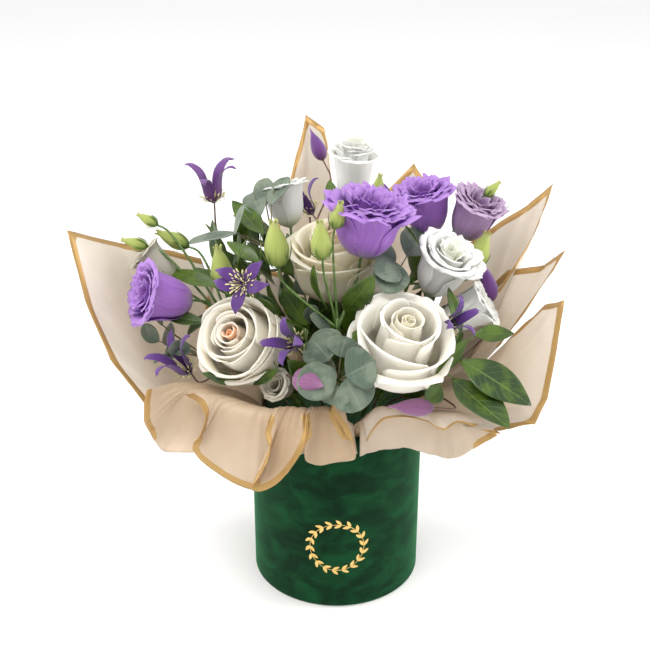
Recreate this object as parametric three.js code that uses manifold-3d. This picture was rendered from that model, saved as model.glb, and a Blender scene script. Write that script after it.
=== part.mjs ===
// A flower box: a round velvet-covered hat box with a lift-out liner, floral foam, cut flowers and a film collar.
// Units are millimetres, +Z is up, -Y is the front, and the origin is the middle of the box's underside.
//
// The flowers are placed as a florist places them, from the heart of the foam: `turn` is the compass direction
// round the box in degrees (0 front, 90 right, 180 back, -90 left), `lean` is the angle from upright, and
// `reach` is the distance from the heart to the middle of the bloom.
import * as THREE from "three";
import { mergeVertices } from "three/addons/utils/BufferGeometryUtils.js";
import Module from "manifold-3d";

const wasm = await Module();
wasm.setup();

// ---------------------------------------------------------------- driving dimensions

const GAP = 0.3; // clearance between pieces that touch
const CORNER_GAP = 0.7; // how far corners move out where a piece is cut round another
const ROUND = 36; // sides of a full turn on the box

const box = {
  diameter: 160,
  height: 180,
  velvet: 0.8, // velvet-faced paper
  board: 2.6, // grey board tube
  lining: 0.7, // white lining paper
  base: 3, // base board
  paper: 0.8, // paper glued over the underside
  paperInset: 1.5, // how far that paper stays inside the wall
  turnIn: 16, // velvet folded over the rim
  turnUnder: 9, // velvet folded under the foot
};

const liner = {
  belowRim: 26, // the liner's lip under the box's rim
  wall: 1.2,
  taper: 4, // how much narrower its foot is than its lip, on the radius
  collarRoom: 6, // space left round it for three layers of film
};

const foam = { standsAbove: 26, roundness: 14, heart: 15 }; // heart: depth of the heart under the foam's top

const emblem = { ringRadius: 25, band: 0.9, leaf: 6.5, leaves: 14, thickness: 0.25, height: 67 };

const film = {
  thickness: 1,
  offLiner: 1.1, // from the liner to the middle of the first layer
  layerStep: 1.7, // from one layer to the next
  fanOut: 4, // how much further out each layer bellies
  bellyOut: 0.5, // where a standing sheet is fullest, as a share of its reach out
  bellyUp: 0.28, // and of its height
  tuck: 26, // how far the film reaches below the rim
  upright: 2, // how far it goes straight up past the rim
  stripsPerRib: 2,
};

const stemRadius = { rose: 2.6, lisianthus: 1.7, clematis: 1.1, twig: 1.3 };
const stemInFoam = 40; // how deep a stem is pushed into the foam
const stemClear = 4; // how far a stem is above the foam before it bends outwards
const stemEdge = 12; // the least distance from a stem to the foam's side
const leafThickness = 1.2;

// ---------------------------------------------------------------- values that follow

const outerRadius = box.diameter / 2;
const boardOuter = outerRadius - box.velvet - GAP;
const boardInner = boardOuter - box.board;
const liningInner = boardInner - GAP - box.lining;
const linerTop = box.height - liner.belowRim;
const linerOuter = liningInner - liner.collarRoom;
const velvetFoot = box.paper + GAP;
const boardFoot = velvetFoot + box.velvet + GAP;
const linerFloor = boardFoot + box.base + GAP;
const foamTop = linerTop + foam.standsAbove;
const foamRadius = linerOuter - liner.wall - GAP;
const HEART = new THREE.Vector3(0, 0, foamTop - foam.heart);

// ---------------------------------------------------------------- materials

const finish = (colour, roughness, metalness = 0) =>
  new THREE.MeshStandardMaterial({ color: colour, roughness, metalness });

const look = {
  velvet: finish(0x124a29, 0.95),
  board: finish(0x9c958a, 0.9),
  lining: finish(0xf2efe8, 0.8),
  foil: finish(0xdcb56a, 0.3, 0.9),
  liner: finish(0x2c2f2c, 0.5),
  foam: finish(0x2f5d38, 0.95),
  film: finish(0xead9c6, 0.35),
  roseWhite: finish(0xf4f1e4, 0.6),
  rosePeach: finish(0xf6ead8, 0.6),
  purple: finish(0x8b58bd, 0.6),
  lilac: finish(0xb79bc6, 0.6),
  white: finish(0xf3f3ef, 0.6),
  clematis: finish(0x64306f, 0.6),
  stem: finish(0x55713a, 0.7),
  vine: finish(0x6a5a4a, 0.7),
  eucalyptus: finish(0x72887c, 0.8),
  leaf: finish(0x35621f, 0.5),
};

// ---------------------------------------------------------------- solids

// A closed three.js geometry as a manifold-3d solid.
function solid(geometry) {
  const bare = geometry.index ? geometry.toNonIndexed() : geometry.clone();
  const merged = mergeVertices(
    new THREE.BufferGeometry().setAttribute("position", bare.getAttribute("position")),
    1e-3,
  );
  return new wasm.Manifold(
    new wasm.Mesh({
      numProp: 3,
      vertProperties: merged.attributes.position.array,
      triVerts: new Uint32Array(merged.index.array),
    }),
  );
}

// A manifold-3d solid as a three.js geometry.
function geometryOf(body) {
  const made = body.getMesh();
  const points = new Float32Array(made.numVert * 3);
  for (let i = 0; i < made.numVert; i++)
    points.set(made.vertProperties.subarray(i * made.numProp, i * made.numProp + 3), i * 3);
  return new THREE.BufferGeometry()
    .setAttribute("position", new THREE.BufferAttribute(points, 3))
    .setIndex(new THREE.BufferAttribute(made.triVerts, 1));
}

// The largest body of a solid, where a cut has left chips beside it.
const mainBody = (body) =>
  body.decompose().reduce((best, one) => (one.volume() > best.volume() ? one : best));

const joined = (bodies) => bodies.reduce((sum, one) => sum.add(one));

const rad = THREE.MathUtils.degToRad;

// A direction from its compass turn and its lean from upright.
const direction = (turn, lean) =>
  new THREE.Vector3(
    Math.sin(rad(turn)) * Math.sin(rad(lean)),
    -Math.cos(rad(turn)) * Math.sin(rad(lean)),
    Math.cos(rad(lean)),
  );

const place = ([turn, lean, reach]) => direction(turn, lean).multiplyScalar(reach).add(HEART);

// A body turned about the Z axis, from [radius, height] pairs that run from axis to axis or close on themselves.
function turned(profile, sides = ROUND) {
  const ring = profile[0][0] > 0 ? [...profile, profile[0]] : profile;
  const points = ring.map(([r, z]) => new THREE.Vector2(r, z));
  return solid(new THREE.LatheGeometry(points, sides).rotateX(Math.PI / 2));
}

// A lathe-turned bloom, bud or fruit whose axis runs along `axis` and whose middle is at `middle`.
function bloom(profile, middle, axis, sides = 10) {
  const height = profile.at(-1)[1];
  const points = profile.map(([r, z]) => new THREE.Vector2(r, z - height / 2));
  const made = new THREE.LatheGeometry(points, sides);
  made.applyQuaternion(
    new THREE.Quaternion().setFromUnitVectors(new THREE.Vector3(0, 1, 0), axis),
  );
  return solid(made.translate(...middle));
}

// A round bar along a smooth line through the points.
function bar(points, radius, steps = 5, sides = 5) {
  const section = new THREE.Shape();
  for (let i = 0; i < sides; i++) {
    const a = (2 * Math.PI * i) / sides;
    section[i ? "lineTo" : "moveTo"](radius * Math.cos(a), radius * Math.sin(a));
  }
  const path = points.length > 2
    ? new THREE.CatmullRomCurve3(points)
    : new THREE.LineCurve3(...points);
  return solid(
    new THREE.ExtrudeGeometry(section, {
      steps: points.length > 2 ? steps : 1,
      extrudePath: path,
    }),
  );
}

// A flat leaf blade from `base` to `tip`, whose face looks along `face`. `fullest` is where it is widest.
function blade(base, tip, face, width, thickness = 1, fullest = 0.45) {
  const length = base.distanceTo(tip);
  const outline = new THREE.Shape();
  outline.moveTo(0, 0);
  outline.quadraticCurveTo(width / 2, length * 0.08, width / 2, length * fullest);
  outline.quadraticCurveTo(width / 2, length * 0.82, 0, length);
  outline.quadraticCurveTo(-width / 2, length * 0.82, -width / 2, length * fullest);
  outline.quadraticCurveTo(-width / 2, length * 0.08, 0, 0);
  const flat = new THREE.ExtrudeGeometry(outline, {
    depth: thickness,
    bevelEnabled: false,
    curveSegments: 2,
  }).translate(0, 0, -thickness / 2);
  const along = tip.clone().sub(base).normalize();
  const across = new THREE.Vector3().crossVectors(along, face).normalize();
  const out = new THREE.Vector3().crossVectors(across, along);
  return solid(
    flat.applyMatrix4(new THREE.Matrix4().makeBasis(across, along, out).setPosition(base)),
  );
}

// ---------------------------------------------------------------- the assembly

const group = new THREE.Group();
const pieces = new Map(); // name to solid, in the order in which they were placed

function add(name, body, material) {
  pieces.set(name, body);
  const mesh = new THREE.Mesh(geometryOf(body), material);
  mesh.name = name;
  group.add(mesh);
}

// A copy of a solid whose corners are moved out, so that what is cut by it keeps the gap.
const grownCopies = new Map();
function grown(body) {
  if (grownCopies.has(body)) return grownCopies.get(body);
  const shape = geometryOf(body);
  shape.computeVertexNormals();
  const { position, normal } = shape.attributes;
  for (let i = 0; i < position.count; i++)
    position.setXYZ(
      i,
      position.getX(i) + normal.getX(i) * CORNER_GAP,
      position.getY(i) + normal.getY(i) * CORNER_GAP,
      position.getZ(i) + normal.getZ(i) * CORNER_GAP,
    );
  grownCopies.set(body, solid(shape));
  return grownCopies.get(body);
}

// A soft piece gives way to all that is there already, and keeps the gap to it.
function addAround(name, body, material) {
  let left = body;
  for (const other of pieces.values())
    if (left.intersect(grown(other)).volume() > 0)
      left = left.subtract(grown(other)).subtract(other);
  add(name, mainBody(left), material);
}

// ---------------------------------------------------------------- the box

// The velvet-faced paper: a sleeve, folded over the rim and under the foot.
const rimInner = boardInner - GAP - box.velvet;
add(
  "velvet_cover",
  turned([
    [outerRadius - box.turnUnder, velvetFoot],
    [outerRadius, velvetFoot],
    [outerRadius, box.height],
    [rimInner, box.height],
    [rimInner, box.height - box.turnIn],
    [boardInner - GAP, box.height - box.turnIn],
    [boardInner - GAP, box.height - box.velvet],
    [outerRadius - box.velvet, box.height - box.velvet],
    [outerRadius - box.velvet, velvetFoot + box.velvet],
    [outerRadius - box.turnUnder, velvetFoot + box.velvet],
  ]),
  look.velvet,
);

add(
  "board_tube",
  turned([
    [boardInner, boardFoot],
    [boardOuter, boardFoot],
    [boardOuter, box.height - box.velvet - GAP],
    [boardInner, box.height - box.velvet - GAP],
  ]),
  look.board,
);

const disc = (radius, foot, thickness) =>
  turned([[0, foot], [radius, foot], [radius, foot + thickness], [0, foot + thickness]]);

add("base_board", disc(boardInner - GAP, boardFoot, box.base), look.board);
add("base_paper", disc(outerRadius - box.paperInset, 0, box.paper), look.lining);

add(
  "lining_paper",
  turned([
    [liningInner, linerFloor],
    [boardInner - GAP, linerFloor],
    [boardInner - GAP, box.height - box.turnIn - GAP],
    [liningInner, box.height - box.turnIn - GAP],
  ]),
  look.lining,
);

// A hot-foil wreath of small leaves, bent round the front of the box.
function wreath() {
  const ring = new THREE.Shape().absarc(0, 0, emblem.ringRadius + emblem.band / 2, 0, 2 * Math.PI);
  ring.holes.push(
    new THREE.Path().absarc(0, 0, emblem.ringRadius - emblem.band / 2, 0, 2 * Math.PI, true),
  );
  const foil = { depth: emblem.thickness, bevelEnabled: false, curveSegments: 16 };
  const bodies = [solid(new THREE.ExtrudeGeometry(ring, foil))];
  for (let i = 0; i < emblem.leaves; i++) {
    const along = (2 * Math.PI * (i + 0.5)) / emblem.leaves;
    const root = new THREE.Vector3(Math.cos(along), Math.sin(along), 0).multiplyScalar(emblem.ringRadius);
    const heading = along + Math.PI / 2 + (i % 2 ? -1 : 1) * rad(38);
    const point = new THREE.Vector3(Math.cos(heading), Math.sin(heading), 0)
      .multiplyScalar(emblem.leaf).add(root);
    const leaf = blade(root, point, new THREE.Vector3(0, 0, 1), emblem.leaf * 0.36, emblem.thickness);
    bodies.push(leaf.translate([0, 0, emblem.thickness / 2]));
  }
  const flat = geometryOf(joined(bodies));
  const { position } = flat.attributes;
  for (let i = 0; i < position.count; i++) {
    const radius = outerRadius + GAP + position.getZ(i);
    const angle = position.getX(i) / outerRadius;
    position.setXYZ(
      i,
      radius * Math.sin(angle),
      -radius * Math.cos(angle),
      emblem.height + position.getY(i),
    );
  }
  return solid(flat);
}
add("foil_wreath", wreath(), look.foil);

// ---------------------------------------------------------------- liner and foam

const linerFoot = linerOuter - liner.taper;
add(
  "liner_pot",
  turned([
    [0, linerFloor + GAP],
    [linerFoot, linerFloor + GAP],
    [linerOuter, linerTop],
    [linerOuter - liner.wall, linerTop],
    [linerFoot - liner.wall, linerFloor + GAP + liner.wall],
    [0, linerFloor + GAP + liner.wall],
  ]),
  look.liner,
);

const foamFoot = linerFloor + 2 * GAP + liner.wall;
const foamBlock = turned([
  [0, foamFoot],
  [foamRadius - liner.taper, foamFoot],
  [foamRadius - GAP, linerTop],
  [foamRadius - GAP, foamTop - foam.roundness],
  [foamRadius - foam.roundness * 0.3, foamTop - foam.roundness * 0.3],
  [foamRadius - foam.roundness, foamTop],
  [0, foamTop],
]);

// ---------------------------------------------------------------- shapes of blooms

// Half outlines as [radius, height] pairs, from the back of a bloom to its mouth or tip.
const scaled = (pairs, wide, high) => pairs.map(([r, z]) => [r * wide, z * high]);
const profiles = {
  rose: ({ wide, high }) =>
    scaled([[0, 0], [0.2, 0.03], [0.42, 0.3], [0.5, 0.62], [0.44, 0.88], [0.26, 1], [0, 1]], wide, high),
  lisianthus: ({ wide, high }) =>
    scaled([[0, 0], [0.12, 0.02], [0.3, 0.35], [0.42, 0.7], [0.5, 0.9], [0.4, 1], [0, 1]], wide, high),
  clematis: ({ wide, high }) =>
    scaled([[0, 0], [0.12, 0.01], [0.26, 0.3], [0.32, 0.65], [0.5, 1], [0, 1]], wide, high),
  clematisBud: ({ wide, high }) =>
    scaled([[0, 0], [0.3, 0.04], [0.5, 0.3], [0.3, 0.66], [0.08, 0.94], [0, 1]], wide, high),
  greenBud: ({ wide, high }) =>
    scaled([[0, 0], [0.28, 0.03], [0.5, 0.4], [0.4, 0.72], [0.12, 0.97], [0, 1]], wide, high),
};

// ---------------------------------------------------------------- stems

// Where a stem for a bloom with this turn and lean goes into the top of the foam.
const stemSpread = (lean) => (foamRadius - stemEdge) * Math.sin(rad(lean)) ** 0.7;
const inFoam = (turn, lean, height, share) =>
  direction(turn, 90).multiplyScalar(stemSpread(lean) * share).setZ(height);

// The lower stretch of a stem: its cut end in the foam, and the point where it comes out.
const rooted = ([turn, lean]) => [
  inFoam(turn, lean, foamTop - stemInFoam, 0.8),
  inFoam(turn, lean, foamTop + stemClear, 1),
];

// The last stretch: it comes up to the middle of a bloom's back along the bloom's axis.
function backOf(spec) {
  const axis = direction(...spec.face);
  const back = place(spec.at).addScaledVector(axis, -spec.high / 2 - GAP);
  return [back.clone().addScaledVector(axis, -(spec.neck ?? 14)), back];
}

const singleStem = (spec, radius) => bar([...rooted(spec.at), ...backOf(spec)], radius);

// A branching stem: one trunk to the fork, then a branch to each bloom, and small green buds on their own twigs.
function spray({ fork, blooms = [], buds = [], radius }) {
  const split = place(fork);
  const [cut, exit] = rooted(fork);
  const bodies = [bar([cut, exit, split], radius)];
  const branchFrom = exit.clone().lerp(split, 0.9);
  for (const spec of blooms)
    bodies.push(bar([branchFrom, ...backOf(spec)], radius * 0.8, 3));
  for (const bud of buds) {
    const [before, base] = backOf(bud);
    const axis = direction(...bud.face);
    bodies.push(bar([branchFrom, before, base.clone().addScaledVector(axis, 2)], radius * 0.7, 3));
    bodies.push(bloom(profiles.greenBud(bud), place(bud.at), axis, 7));
  }
  return joined(bodies);
}

const rose = (at, face, wide, high = wide * 0.72) => ({ at, face, wide, high });
const roses = {
  rose_peach: rose([-55, 45, 140], [-30, 50], 78),
  rose_white: rose([34, 42, 142], [18, 27], 84),
  rose_cream: rose([-170, 8, 142], [-10, 12], 88),
  rose_back: rose([160, 52, 140], [160, 45], 78),
};

const flower = (at, face, wide, high, neck) => ({ at, face, wide, high, neck });
const lisianthus = {
  lisianthus_purple_left: flower([-80, 50, 199], [-70, 84], 50, 52),
  lisianthus_purple_mid: flower([55, 9, 190], [60, 10], 66, 52, 24),
  lisianthus_purple_right: flower([122, 28, 206], [-90, 14], 48, 48),
  lisianthus_lilac: flower([108, 36, 220], [95, 24], 44, 46),
  lisianthus_white_top: flower([172, 30, 226], [90, 4], 42, 56),
  lisianthus_white_right: flower([84, 32, 172], [40, 30], 48, 54),
  lisianthus_white_low: flower([84, 47, 158], [80, 58], 46, 50),
  lisianthus_white_back: flower([-144, 24, 200], [-140, 20], 42, 44),
  lisianthus_cream_low: flower([-34, 58, 108], [-30, 60], 34, 32),
};
const greenBud = (at, face, wide, high, neck = 12) => ({ at, face, wide, high, neck });
const sprays = {
  spray_left: {
    radius: stemRadius.lisianthus,
    fork: [-86, 46, 140],
    blooms: [lisianthus.lisianthus_purple_left],
    buds: [
      greenBud([-100, 44, 250], [-98, 62], 10, 20),
      greenBud([-97, 49, 244], [-95, 75], 11, 24),
      greenBud([-103, 44, 222], [-100, 66], 15, 32),
      greenBud([-80, 34, 184], [-60, 8], 20, 40),
    ],
  },
  spray_mid: {
    radius: stemRadius.lisianthus,
    fork: [0, 24, 130],
    blooms: [lisianthus.lisianthus_purple_mid],
    buds: [
      greenBud([-15, 16, 198], [-40, 6], 18, 34),
      greenBud([0, 11, 212], [30, 20], 13, 26),
      greenBud([-58, 19, 190], [-60, 6], 22, 42),
    ],
  },
  spray_right: {
    radius: stemRadius.lisianthus,
    fork: [112, 30, 150],
    blooms: [lisianthus.lisianthus_purple_right, lisianthus.lisianthus_lilac],
    buds: [
      greenBud([98, 40, 202], [95, 20], 20, 36),
      greenBud([112, 34, 186], [90, 5], 13, 20),
      greenBud([108, 36, 252], [100, 45], 9, 18),
    ],
  },
  spray_white: {
    radius: stemRadius.lisianthus,
    fork: [80, 42, 100],
    blooms: [lisianthus.lisianthus_white_right, lisianthus.lisianthus_white_low],
  },
  spray_top: {
    radius: stemRadius.lisianthus,
    fork: [178, 22, 140],
    blooms: [lisianthus.lisianthus_white_top, lisianthus.lisianthus_white_back],
    buds: [greenBud([150, 21, 212], [80, 8], 13, 28)],
  },
};

const clematis = {
  clematis_tall: { kind: "clematis", ...flower([-114, 31, 240], [-30, 5], 40, 34, 30) },
  clematis_star: { kind: "clematis", ...flower([-50, 34, 190], [-20, 68], 44, 20) },
  clematis_low: { kind: "clematis", ...flower([-68, 64, 168], [-60, 40], 36, 36) },
  clematis_dark: { kind: "clematis", ...flower([-24, 40, 148], [-30, 60], 34, 34) },
  clematis_pink: { kind: "clematis", ...flower([-12, 52, 142], [40, 80], 22, 34) },
  clematis_right: { kind: "clematis", ...flower([62, 36, 128], [70, 20], 28, 40) },
  bud_top: { kind: "clematisBud", ...flower([-173, 36, 266], [-130, 30], 15, 32, 20) },
  bud_right: { kind: "clematisBud", ...flower([94, 47, 186], [-80, 12], 18, 38, 22) },
  bud_low: { kind: "clematisBud", ...flower([30, 66, 132], [-75, 88], 16, 40, 20) },
};
const { clematis_tall, clematis_star, clematis_low, clematis_dark, clematis_pink } = clematis;
const { clematis_right, bud_top, bud_right, bud_low } = clematis;
const vines = {
  vine_left: {
    radius: stemRadius.clematis,
    fork: [-80, 40, 120],
    blooms: [clematis_tall, clematis_star, clematis_low],
  },
  vine_front: {
    radius: stemRadius.clematis,
    fork: [-14, 50, 88],
    blooms: [clematis_dark, clematis_pink],
  },
  vine_back: {
    radius: stemRadius.clematis,
    fork: [-166, 34, 190],
    blooms: [bud_top],
  },
  vine_right: {
    radius: stemRadius.clematis,
    fork: [60, 62, 110],
    blooms: [clematis_right, bud_right, bud_low],
  },
};

// The stems, each joined from its trunk, branches and green buds.
for (const [name, spec] of Object.entries(roses))
  addAround(`${name}_stem`, singleStem(spec, stemRadius.rose), look.stem);
for (const [name, spec] of Object.entries(sprays)) addAround(name, spray(spec), look.stem);
for (const [name, spec] of Object.entries(vines)) addAround(name, spray(spec), look.vine);

// ---------------------------------------------------------------- film sheets

// Each rib of a sheet is [turn of its foot, hem, belly]. The hem and the belly are [turn, distance out from the
// box's wall, height above its rim]. A sheet that rolls over the rim gives its belly, a standing one leaves it out.
const offRim = ([turn, out, up]) =>
  direction(turn, 90).multiplyScalar(outerRadius + out).setZ(box.height + up);

function sheet({ layer, ribs, rows = [0, 0.33, 0.44, 0.55, 0.67, 0.83, 1], soft = false }) {
  const foot = linerOuter + film.offLiner + layer * film.layerStep - outerRadius;
  const rails = ribs.map(([turn, hem, belly]) => {
    const middle = belly ?? [
      THREE.MathUtils.lerp(turn, hem[0], film.bellyOut),
      THREE.MathUtils.lerp(foot, hem[1], film.bellyOut) + film.fanOut * layer,
      hem[2] * film.bellyUp,
    ];
    const knots = [[turn, foot, -film.tuck], [turn, foot, film.upright], middle, hem];
    return new THREE.CatmullRomCurve3(knots.map(offRim));
  });
  const columns = (ribs.length - 1) * film.stripsPerRib;
  const grid = rows.map((t) => {
    const knots = rails.map((rail) => rail.getPoint(t));
    const across = new THREE.CatmullRomCurve3(knots, false, "catmullrom", soft ? 0.5 : 0);
    return Array.from({ length: columns + 1 }, (_, i) => across.getPoint(i / columns));
  });
  return shell(grid, film.thickness);
}

// A closed shell of even thickness round a grid of points.
function shell(grid, thickness) {
  const [rows, columns] = [grid.length, grid[0].length];
  const step = (a, b) => new THREE.Vector3().subVectors(b, a);
  const at = (r, c) => grid[Math.min(Math.max(r, 0), rows - 1)][Math.min(Math.max(c, 0), columns - 1)];
  const side = (away) =>
    grid.flatMap((line, r) =>
      line.map((point, c) =>
        step(at(r - 1, c), at(r + 1, c))
          .cross(step(at(r, c - 1), at(r, c + 1)))
          .normalize().multiplyScalar(away).add(point),
      ),
    );
  const points = [...side(-thickness / 2), ...side(thickness / 2)];
  const half = rows * columns;
  const faces = [];
  const quad = (a, b, c, d) => faces.push(a, b, c, a, c, d);
  for (let r = 0; r < rows - 1; r++)
    for (let c = 0; c < columns - 1; c++) {
      const a = r * columns + c;
      quad(a, a + 1, a + columns + 1, a + columns);
      quad(half + a, half + a + columns, half + a + columns + 1, half + a + 1);
    }
  const rim = [];
  for (let c = 0; c < columns - 1; c++) rim.push(c);
  for (let r = 0; r < rows - 1; r++) rim.push(r * columns + columns - 1);
  for (let c = columns - 1; c > 0; c--) rim.push((rows - 1) * columns + c);
  for (let r = rows - 1; r > 0; r--) rim.push(r * columns);
  rim.forEach((a, i) => {
    const b = rim[(i + 1) % rim.length];
    quad(b, a, half + a, half + b);
  });
  const made = new THREE.BufferGeometry()
    .setAttribute("position", new THREE.Float32BufferAttribute(points.flatMap((p) => [p.x, p.y, p.z]), 3))
    .setIndex(faces);
  return solid(made);
}

const sheets = {
  wrap_left: {
    layer: 1,
    ribs: [
      [-62, [-66, 102, 32]],
      [-70, [-74, 125, 67]],
      [-79, [-82, 142, 112]],
      [-88, [-88, 155, 168]],
      [-99, [-104, 127, 135]],
      [-110, [-115, 95, 119]],
      [-120, [-124, 79, 105]],
    ],
  },
  wrap_front_left: {
    layer: 2,
    soft: true,
    ribs: [
      [-76, [-60, 106, 58], [-64, 66, 48]],
      [-68, [-66, 100, 5], [-60, 64, 47]],
      [-58, [-65, 80, -18], [-55, 58, 46]],
      [-48, [-45, 88, 15], [-45, 50, 44]],
      [-38, [-35, 82, -7], [-35, 45, 43]],
      [-30, [-28, 68, -17], [-27, 40, 42]],
      [-24, [-20, 46, 0], [-20, 34, 41]],
      [-17, [-14, 36, 12], [-14, 26, 40]],
    ],
  },
  wrap_front: {
    layer: 1,
    soft: true,
    ribs: [
      [-18, [-18, 30, 0], [-14, 22, 36]],
      [-10, [-10, 26, 4], [-9, 16, 40]],
      [-3, [-2, 17, 2], [-3, 15, 39]],
      [4, [6, 13, -8], [3, 8, 25]],
      [10, [11, 10, -8], [9, 4, 17]],
    ],
  },
  wrap_front_right: {
    layer: 2,
    soft: true,
    ribs: [
      [8, [12, 11, -10], [12, 8, 20]],
      [17, [24, 13, -6], [20, 17, 35]],
      [27, [38, 21, -7], [32, 26, 34]],
      [35, [46, 32, -14], [43, 36, 24]],
      [43, [54, 48, -20], [50, 42, 26]],
      [52, [57, 68, -4], [54, 50, 19]],
      [60, [61, 80, 4], [59, 56, 16]],
    ],
  },
  wrap_right_low: {
    layer: 1,
    ribs: [
      [50, [56, 87, 16], [52, 38, 12]],
      [58, [62, 111, 21], [59, 48, 18]],
      [66, [66, 117, 42]],
      [73, [69, 119, 82]],
      [80, [72, 120, 125]],
      [89, [80, 103, 108]],
      [98, [88, 75, 60]],
    ],
  },
  wrap_right: {
    layer: 0,
    ribs: [
      [76, [82, 68, 65]],
      [83, [87, 96, 104]],
      [90, [92, 124, 144]],
      [99, [98, 112, 122]],
      [107, [105, 85, 111]],
      [115, [109, 65, 82]],
    ],
  },
  wrap_right_up: {
    layer: 2,
    ribs: [
      [94, [98, 71, 100]],
      [102, [104, 110, 145]],
      [110, [112, 141, 183]],
      [119, [116, 123, 159]],
      [129, [122, 105, 138]],
      [138, [130, 80, 110]],
    ],
  },
  wrap_back_right: {
    layer: 1,
    ribs: [
      [130, [140, 78, 120]],
      [142, [149, 108, 152]],
      [154, [157, 128, 171]],
      [167, [165, 92, 142]],
      [178, [173, 70, 110]],
    ],
  },
  wrap_back_left: {
    layer: 2,
    ribs: [
      [-186, [-180, 75, 142]],
      [-180, [-177, 130, 203]],
      [-171, [-172, 142, 215]],
      [-160, [-165, 102, 158]],
      [-148, [-157, 75, 120]],
    ],
  },
  wrap_rear_left: {
    layer: 0,
    ribs: [
      [-158, [-156, 60, 75]],
      [-144, [-140, 88, 86]],
      [-130, [-128, 78, 82]],
      [-114, [-116, 60, 65]],
    ],
  },
};
for (const [name, spec] of Object.entries(sheets)) addAround(name, sheet(spec), look.film);

// ---------------------------------------------------------------- blooms

const bloomColour = {
  rose_peach: look.rosePeach,
  lisianthus_lilac: look.lilac,
};
function colourOf(name) {
  if (bloomColour[name]) return bloomColour[name];
  if (name.startsWith("rose")) return look.roseWhite;
  if (name.includes("purple")) return look.purple;
  if (name.startsWith("lisianthus")) return look.white;
  return look.clematis;
}

function addBlooms(specs, shape) {
  for (const [name, spec] of Object.entries(specs)) {
    const outline = profiles[spec.kind ?? shape](spec);
    addAround(name, bloom(outline, place(spec.at), direction(...spec.face)), colourOf(name));
  }
}
addBlooms(roses, "rose");
addBlooms(lisianthus, "lisianthus");
addBlooms(clematis);

// ---------------------------------------------------------------- leaves

// A sprig: a stem to the fork, and leaves on short stalks, each from its base to its tip, facing out.
function sprig({ fork, leaves, fullest = 0.45 }) {
  const split = place(fork);
  const [cut, exit] = rooted(fork);
  const bodies = [bar([cut, exit, split], stemRadius.twig)];
  for (const [base, tip, width] of leaves) {
    const [foot, end] = [place(base), place(tip)];
    const face = foot.clone().add(end).multiplyScalar(0.5).sub(HEART).normalize();
    const stalkEnd = foot.clone().lerp(end, 0.15);
    const branchFrom = exit.clone().lerp(split, 0.9);
    bodies.push(bar([branchFrom, foot.clone().lerp(branchFrom, 0.3), stalkEnd], stemRadius.twig * 0.8, 3));
    bodies.push(blade(foot, end, face, width, leafThickness, fullest));
  }
  return joined(bodies);
}

const eucalyptus = {
  eucalyptus_front: {
    fork: [0, 46, 112],
    leaves: [
      [[-4, 44, 142], [-14, 38, 150], 34],
      [[-1, 48, 145], [-15, 56, 150], 32],
      [[3, 50, 148], [15, 47, 158], 36],
      [[3, 51, 148], [9, 61, 140], 36],
    ],
  },
  eucalyptus_right: {
    fork: [62, 20, 150],
    leaves: [
      [[66, 19, 168], [35, 26, 165], 32],
      [[85, 21, 170], [118, 31, 185], 36],
    ],
  },
  eucalyptus_left: {
    fork: [-72, 58, 150],
    leaves: [
      [[-72, 59, 165], [-66, 58, 188], 14],
      [[-76, 62, 178], [-92, 64, 190], 18],
      [[-76, 64, 180], [-70, 68, 194], 16],
      [[-80, 65, 192], [-84, 66, 212], 16],
    ],
  },
  eucalyptus_top: {
    fork: [-112, 21, 180],
    leaves: [
      [[-107, 21, 200], [-128, 27, 224], 22],
      [[-116, 19, 205], [-145, 21, 222], 20],
      [[-98, 27, 195], [-85, 37, 215], 22],
    ],
  },
};
const foliage = {
  foliage_right: {
    fork: [50, 52, 150],
    leaves: [
      [[48, 54, 168], [52, 69, 215], 34],
      [[45, 58, 158], [42, 73, 205], 34],
      [[56, 50, 178], [64, 55, 202], 15],
      [[54, 48, 172], [74, 36, 170], 13],
    ],
  },
  foliage_left: {
    fork: [-96, 38, 130],
    leaves: [
      [[-98, 38, 170], [-112, 36, 216], 14],
      [[-76, 32, 172], [-64, 26, 208], 15],
      [[-90, 47, 152], [-77, 60, 166], 24],
    ],
  },
  foliage_back: {
    fork: [-160, 46, 140],
    leaves: [
      [[-163, 48, 155], [-175, 60, 180], 28],
      [[-158, 48, 155], [-146, 60, 182], 28],
      [[-156, 42, 160], [-136, 44, 190], 26],
    ],
  },
};
for (const [name, spec] of Object.entries(eucalyptus))
  addAround(name, sprig({ ...spec, fullest: 0.5 }), look.eucalyptus);
for (const [name, spec] of Object.entries(foliage)) addAround(name, sprig(spec), look.leaf);

// The block of foam comes last, because it has a socket for each stem.
addAround("floral_foam", foamBlock, look.foam);

export default group;
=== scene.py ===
# A flower box: a velvet-covered round box with a lift-out liner of foam, cut flowers and a collar of wrapping
# film. Lengths are metres, +Z is up, -Y is the front, and the origin is the middle of the box's underside.
import math

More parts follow.
